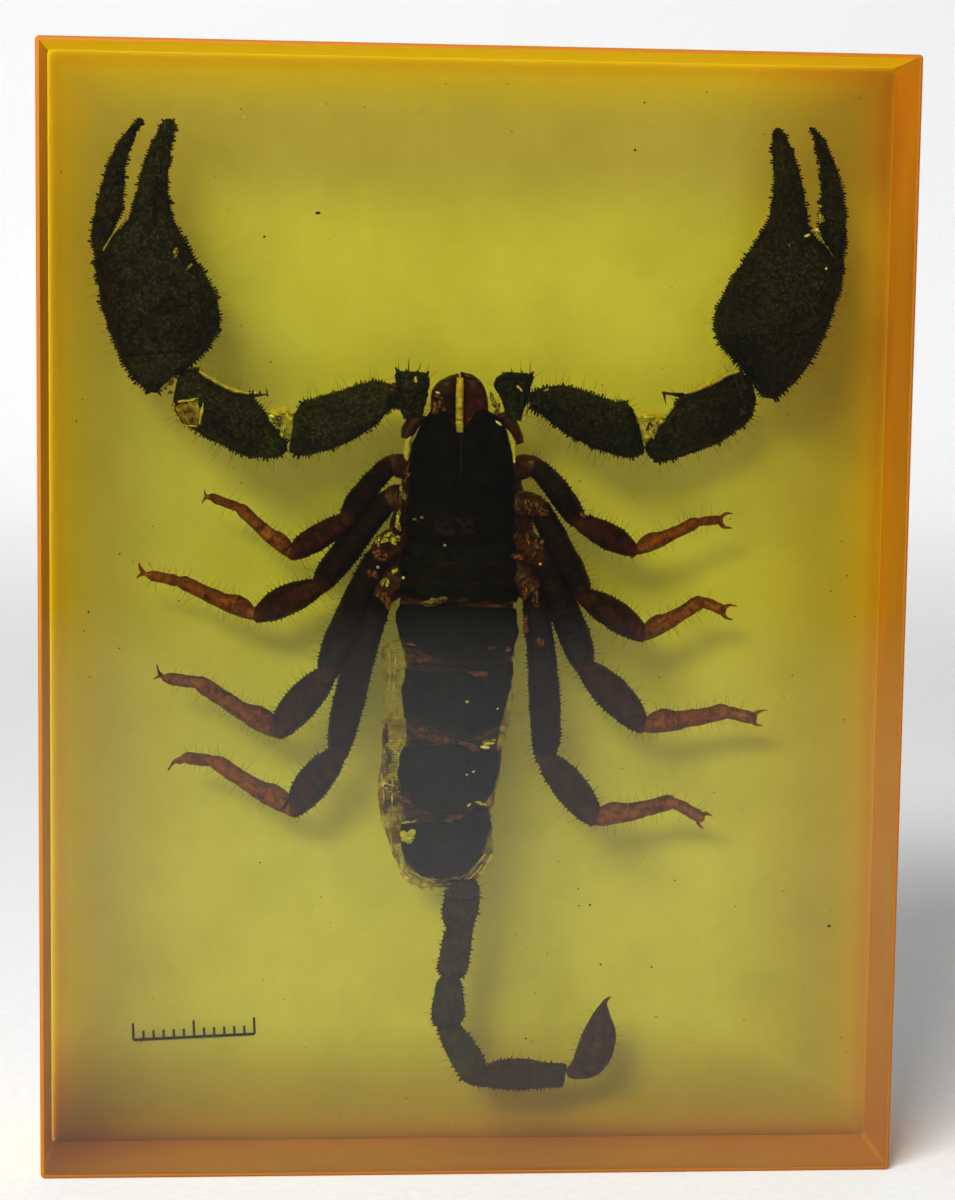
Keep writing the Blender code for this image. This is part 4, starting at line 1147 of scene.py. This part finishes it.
# ------------------------------------------------------------- joint skins
# Thin skin that was stretched over the open joints of the pincers: a clear gold web in each elbow
# and a film along the top of each patella, with a window of older skin near the left wrist.
JOINT_FILMS = [
    (0.3, [(-18.9, 73.3, -18.3, 73.3, 0.05), (-19.9, 72.9, -17.2, 72.9, 0.25),
        (-19.6, 72.2, -17.1, 72.2, 0.4), (-18.8, 71.1, -17.3, 71.1, 0.5), (-18.1, 70.1, -17.6, 70.1, 0.3)]),
    (0.3, [(16.2, 73.3, 16.8, 73.3, 0.05), (15.3, 72.9, 18.3, 72.9, 0.25), (15.4, 72.2, 17.9, 72.2, 0.4),
        (15.8, 71.2, 17.2, 71.2, 0.5), (16.2, 70.4, 16.6, 70.4, 0.3)]),
    (-0.6, [(-26.3, 76.6, -26.2, 76.8, 0.15), (-25.2, 75.8, -25.0, 76.15, 0.3),
        (-23.9, 75.1, -23.7, 75.4, 0.3), (-22.6, 74.7, -22.4, 74.95, 0.3),
        (-21.6, 74.6, -21.5, 74.8, 0.15)]),
    (-0.6, [(25.2, 77.3, 25.1, 77.5, 0.15), (24.0, 76.8, 23.9, 77.1, 0.3), (22.6, 76.0, 22.5, 76.35, 0.3),
        (21.2, 75.4, 21.0, 75.7, 0.3), (20.0, 75.1, 19.9, 75.3, 0.15)]),
    (-0.9, [(-35.3, 87.9, -35.2, 87.8, 0.2), (-34.5, 89.3, -34.35, 89.2, 0.3),
        (-33.5, 90.8, -33.3, 90.7, 0.3), (-33.2, 91.7, -33.0, 91.6, 0.2)]),
    (0.0, [(-29.0, 75.8, -28.3, 76.6, 0.6), (-29.4, 75.2, -28.9, 76.1, 0.6),
        (-30.2, 74.8, -29.6, 75.6, 0.5)]),
    (0.0, [(26.6, 76.5, 27.3, 75.8, 0.6), (27.0, 76.1, 27.6, 75.3, 0.6), (27.6, 75.8, 28.2, 74.9, 0.5)]),
    (0.0, [(-6.0, 71.6, -5.5, 71.8, 0.3), (-6.75, 70.4, -6.0, 70.6, 0.4), (-6.95, 68.8, -6.2, 68.9, 0.4),
        (-6.8, 67.4, -6.4, 67.4, 0.3)]),
    (0.0, [(2.0, 73.0, 2.6, 72.6, 0.3), (2.9, 71.5, 3.7, 71.2, 0.4), (3.3, 70.0, 4.0, 69.8, 0.4),
        (3.6, 68.4, 3.9, 68.4, 0.2)]),
]
WINDOW_AHEAD = 1.75
WINDOW = [
    (-28.5, 73.3, -28.0, 72.1, 0.25), (-27.6, 73.9, -27.5, 71.85, 0.45), (-26.8, 74.25, -26.7, 71.6, 0.45),
    (-26.0, 73.9, -26.0, 71.7, 0.25),
]
# A scrap is a cluster of lumps, scattered over this share of its half size
LUMPS = 7
SCATTER = 0.65
# Scraps of skin and slivers of trapped air, as (x, z, half width, half height, tilt in degrees,
# how far in front of the middle)
SCRAPS = {
    "gold": [(-8.3, 61.3, 0.6, 0.35, 30, 1.4), (-7.7, 60.9, 0.6, 0.5, -20, 1.4),
        (-7.4, 62.4, 0.3, 0.8, 10, 1.3), (-9.2, 60.7, 0.35, 0.6, -15, 1.4), (-7.3, 63.6, 0.16, 0.5, 0, 1.3),
        (-7.7, 57.9, 0.5, 0.25, 40, 1.2), (-8.7, 56.9, 0.25, 0.5, -30, 1.2), (1.6, 41.4, 0.7, 0.3, 10, 1.9),
        (-5.7, 62.9, 0.35, 0.12, -15, 2.5), (-5.1, 63.1, 0.25, 0.14, 20, 2.5),
        (32.95, 91.9, 0.18, 0.35, 15, 0.9), (33.0, 89.7, 0.06, 1.5, 35, 1.6),
        (6.6, 75.3, 0.4, 0.14, 20, 0.8), (5.0, 73.6, 0.14, 0.6, -15, 1.0), (-18.9, 72.2, 0.5, 0.4, 0, 0.8),
        (1.6, 74.4, 0.25, 0.8, 25, 0.4), (2.0, 73.4, 0.35, 0.6, -20, 0.4), (-6.95, 65.4, 0.35, 0.7, 0, 0.9),
        (29.6, 89.3, 0.1, 0.25, 0, 2.0), (-8.4, 39.4, 0.25, 1.2, 5, 0.2), (-4.2, 55.15, 0.9, 0.35, 5, 2.5),
        (-3.1, 55.4, 0.5, 0.2, -10, 2.5), (-28.5, 87.7, 0.25, 0.5, -20, 2.4),
        (-27.2, 86.4, 0.15, 0.4, -30, 2.5), (-7.4, 37.0, 0.5, 0.3, 20, 0.4),
        (-8.2, 36.6, 0.5, 0.3, -30, 0.4)],
    # The bright film is painted glints, where light catches crumpled skin and trapped air.
    "bright": [(-6.2, 32.5, 0.8, 0.85, 10, 2.2), (-5.8, 33.7, 0.8, 0.12, 8, 2.0),
        (0.9, 35.5, 0.6, 0.14, -10, 2.2), (-8.7, 60.9, 0.4, 0.22, 20, 1.9),
        (-7.8, 60.8, 0.35, 0.3, -15, 1.9), (-8.4, 61.4, 0.35, 0.16, 30, 1.9),
        (-7.4, 62.9, 0.16, 0.45, 0, 1.6), (-7.6, 58.0, 0.35, 0.14, 30, 1.7),
        (-8.3, 56.7, 0.2, 0.35, -20, 1.6), (-19.2, 72.75, 0.8, 0.22, -10, 1.0),
        (-17.8, 72.6, 0.35, 0.5, 20, 1.0), (-18.4, 71.3, 0.2, 0.7, -15, 1.0),
        (16.3, 72.85, 0.8, 0.2, 5, 1.0), (17.6, 72.5, 0.4, 0.35, 30, 1.0), (16.8, 71.4, 0.2, 0.7, 15, 1.0),
        (-25.2, 76.05, 0.6, 0.14, -35, 0.9), (-22.6, 74.85, 0.9, 0.12, -8, 0.9),
        (22.6, 76.3, 0.7, 0.14, 25, 0.9), (24.4, 77.2, 0.6, 0.14, 25, 0.9),
        (32.0, 90.9, 0.25, 0.18, 0, 2.1), (32.7, 91.9, 0.16, 0.6, 10, 0.9),
        (-27.4, 73.95, 1.2, 0.1, 9, 2.3), (-26.05, 72.8, 0.1, 1.1, -8, 2.3),
        (-27.05, 71.6, 0.8, 0.1, 0, 2.3), (-28.3, 72.3, 0.1, 0.75, 37, 2.2),
        (-28.6, 73.3, 0.1, 0.4, 0, 2.1), (1.6, 41.3, 0.7, 0.2, 5, 2.2)],
    "cream": [(-0.4, 35.3, 0.35, 0.2, 30, 2.3), (-5.9, 76.2, 0.2, 0.3, 0, 1.7),
        (4.0, 75.5, 0.12, 0.4, 35, 1.7)],
    "orange": [(5.1, 64.0, 0.5, 0.4, 20, 1.7), (6.6, 63.8, 0.5, 0.25, -30, 1.7),
        (5.1, 61.0, 0.3, 0.8, 0, 1.7), (5.8, 60.6, 0.25, 0.6, 10, 1.7), (4.1, 59.4, 0.7, 0.3, 0, 1.9),
        (5.0, 55.9, 0.35, 0.8, 10, 1.7), (5.9, 55.5, 0.3, 0.7, -10, 1.6), (-8.7, 59.3, 0.6, 0.4, 0, 1.8),
        (-9.5, 57.6, 0.3, 0.6, 10, 1.7), (5.0, 52.8, 0.3, 0.9, 0, 1.5), (-9.0, 59.5, 0.7, 0.6, 20, 1.1),
        (-9.8, 57.7, 0.45, 0.4, 0, 1.1), (-8.5, 55.1, 0.5, 0.9, 15, 1.0), (5.2, 64.3, 0.5, 0.8, 20, 1.2),
        (6.5, 63.7, 0.6, 0.4, -30, 1.2), (6.3, 60.5, 0.4, 0.5, 0, 1.1), (6.0, 55.2, 0.5, 0.9, 10, 1.0),
        (6.5, 51.0, 0.45, 0.6, 0, 1.0), (-6.6, 66.9, 0.2, 0.6, -25, 1.2), (-3.7, 54.95, 1.5, 0.35, 4, 2.35),
        (-3.6, 74.6, 0.5, 0.2, -20, 1.3), (-7.9, 75.3, 0.4, 0.5, 0, 0.9), (-3.6, 73.5, 0.7, 0.8, 20, 1.0),
        (15.6, 59.9, 0.7, 0.7, 0, 0.0), (10.4, 63.4, 0.3, 0.3, 0, 0.9)],
    "rust": [(-0.8, 55.2, 1.0, 0.2, 0, 2.0), (-5.6, 49.4, 1.0, 0.45, -25, 1.75),
        (0.6, 48.1, 1.1, 0.3, -5, 1.9), (3.2, 50.4, 0.45, 0.25, 0, 1.9), (1.7, 50.6, 0.5, 0.15, 0, 2.1),
        (-5.2, 42.3, 1.2, 0.6, -12, 1.85), (-2.9, 41.7, 1.6, 0.45, -12, 1.85),
        (-0.3, 41.0, 1.0, 0.4, -8, 1.85), (-5.6, 34.9, 1.1, 0.2, -28, 1.9),
        (-1.7, 34.0, 0.8, 0.3, 12, 1.95), (-8.4, 41.8, 0.3, 1.3, 0, 0.3), (-2.4, 28.3, 1.6, 0.15, 3, 1.6)],
    "brown": [(-18.5, 71.6, 0.3, 0.6, 25, 0.7), (16.65, 71.85, 0.22, 0.5, -20, 0.7),
        (-8.3, 34.8, 0.3, 0.6, 10, 0.4), (-28.9, 75.6, 0.25, 0.3, 0, 0.8),
        (-29.0, 74.7, 0.25, 0.18, 20, 0.8), (-27.2, 73.5, 0.4, 0.5, 0, 1.95),
        (25.6, 73.4, 0.25, 0.4, 0, 1.5)],
    "air": [(-7.8, 60.8, 0.16, 0.14, 0, 1.9), (-8.3, 61.35, 0.14, 0.08, 20, 1.9),
        (-9.2, 60.9, 0.1, 0.14, 0, 1.9), (-7.5, 62.2, 0.09, 0.09, 0, 1.8), (-8.4, 56.5, 0.1, 0.08, 0, 1.7),
        (-6.8, 57.3, 0.12, 0.12, 30, 1.6), (-19.4, 72.55, 0.36, 0.18, -25, 0.8),
        (-18.8, 72.7, 0.22, 0.1, 20, 0.8), (17.6, 72.6, 0.3, 0.2, 40, 0.8),
        (17.0, 72.85, 0.26, 0.09, 20, 0.8), (-21.0, 74.75, 0.14, 0.1, 0, 1.2),
        (32.2, 90.85, 0.18, 0.18, 0, 2.1), (32.6, 93.1, 0.08, 0.1, 0, 1.5), (33.2, 87.2, 0.1, 0.1, 0, 2.4),
        (31.3, 90.3, 0.3, 0.12, 20, 2.2), (1.2, 41.0, 0.5, 0.16, -5, 2.3), (2.1, 72.15, 0.4, 0.1, -35, 1.6),
        (3.7, 68.5, 0.09, 0.18, 0, 1.0), (6.3, 58.7, 0.15, 0.1, 0, 1.6), (-0.6, 45.4, 0.12, 0.07, 0, 2.3),
        (2.4, 44.7, 0.08, 0.08, 0, 2.0), (0.1, 38.6, 0.16, 0.05, 20, 2.3), (-0.5, 38.3, 0.07, 0.07, 0, 2.3),
        (-3.7, 74.95, 0.25, 0.07, -20, 1.5)],
}

# Joint skin: clear pale gold, nearly the colour of the ground behind it, creased every 0.5 mm.
joint_skin = chitin("pale_gold_joint_skin", "#E0C038", "#FFFCB4", patch=0.5, roughness=0.25, dents=0.5,
                    gloss=0.6)
joint_skin.node_tree.nodes["Principled BSDF"].inputs["Alpha"].default_value = 0.75
films = bmesh.new()
for depth, rows in JOINT_FILMS:
    loft(films, rows, 20, y=specimen_y + depth, step=0.2)
specimen_piece("joint_skins", films, [joint_skin], rough=0.16, granule=0.9)

# Window skin: thicker and older, dark ochre.
window_skin = chitin("ochre_window_skin", "#2A2006", "#B49838", patch=0.6, roughness=0.3, gloss=0.4,
                     dents=0.8)
window = bmesh.new()
loft(window, WINDOW, 24, y=specimen_y - WINDOW_AHEAD, step=0.15)
specimen_piece("left_patella_window", window, [window_skin], rough=0.12, granule=0.5)

# Scraps: crumpled gold, cream and rust-brown skin, clear orange cuticle, and silvery trapped air. The
# pale specks on the gold skin are painted sparkle, the bright gold film is painted glints, and the
# trapped air is a dull mirror whose pale colour is a painted highlight.
# Each row has the name, two colours, size of patches, roughness, gloss, dents and how bare the tips are
SCRAP_LOOKS = {
    "gold": ("gold_dried_skin_painted_sparkle", "#241404", "#FFF27A", 0.9, 0.2, 0.8, 0.9, 0.95),
    "bright": ("gold_film_painted_glints", "#746604", "#FAF834", 0.4, 0.25, 0.8, 0.8, 0.0),
    "cream": ("cream_dried_flesh", "#B8A040", "#FFFA98", 0.4, 0.35, 0.5, 0.7, 0.0),
    "orange": ("clear_orange_cuticle", "#140605", "#B0501A", 0.8, 0.25, 0.4, 0.8, 0.9),
    "rust": ("rust_brown_soft_cuticle", "#20110C", "#784628", 0.6, 0.45, 0.05, 0.8, 0.0),
    "brown": ("brown_dried_crumb", "#2A180A", "#7A5222", 0.4, 0.5, 0.05, 0.4, 0.0),
    "air": ("trapped_air_painted_highlight", "#FFF8B0", "#FFFFF0", 0.3, 0.2, 1.0, 0.4, 0.0),
}
scrap_materials = {}
for kind, (name, dark, light, patch, roughness, gloss, dents, tips) in SCRAP_LOOKS.items():
    scrap_materials[kind] = chitin(name, dark, light, patch=patch, roughness=roughness, gloss=gloss,
                                   dents=dents, tips=tips)
scrap_materials["air"].node_tree.nodes["Principled BSDF"].inputs["Metallic"].default_value = 0.3
for name, places in SCRAPS.items():
    scraps = bmesh.new()
    for x, z, wide, tall, tilt, ahead in places:
        for lump in range(1 if name == "air" else LUMPS):
            sideways, up = [chance.uniform(-SCATTER, SCATTER) for axis in range(2)]
            shift = Vector((sideways * wide, 0, up * tall)) * (name != "air")
            part = 1.0 if name == "air" else chance.uniform(0.3, 0.6)
            made = bmesh.ops.create_icosphere(scraps, subdivisions=2, radius=part)["verts"]
            bmesh.ops.scale(scraps, vec=(wide, min(wide, tall, 0.35), tall), verts=made)
            bmesh.ops.translate(scraps, vec=shift, verts=made)
            bmesh.ops.rotate(scraps, cent=(0, 0, 0), matrix=Matrix.Rotation(-math.radians(tilt), 3, "Y"),
                             verts=made)
            bmesh.ops.translate(scraps, vec=(x, specimen_y - ahead, z), verts=made)
    specimen_piece(f"{name}_scraps", scraps, [scrap_materials[name]], rough=0.07, granule=0.25)
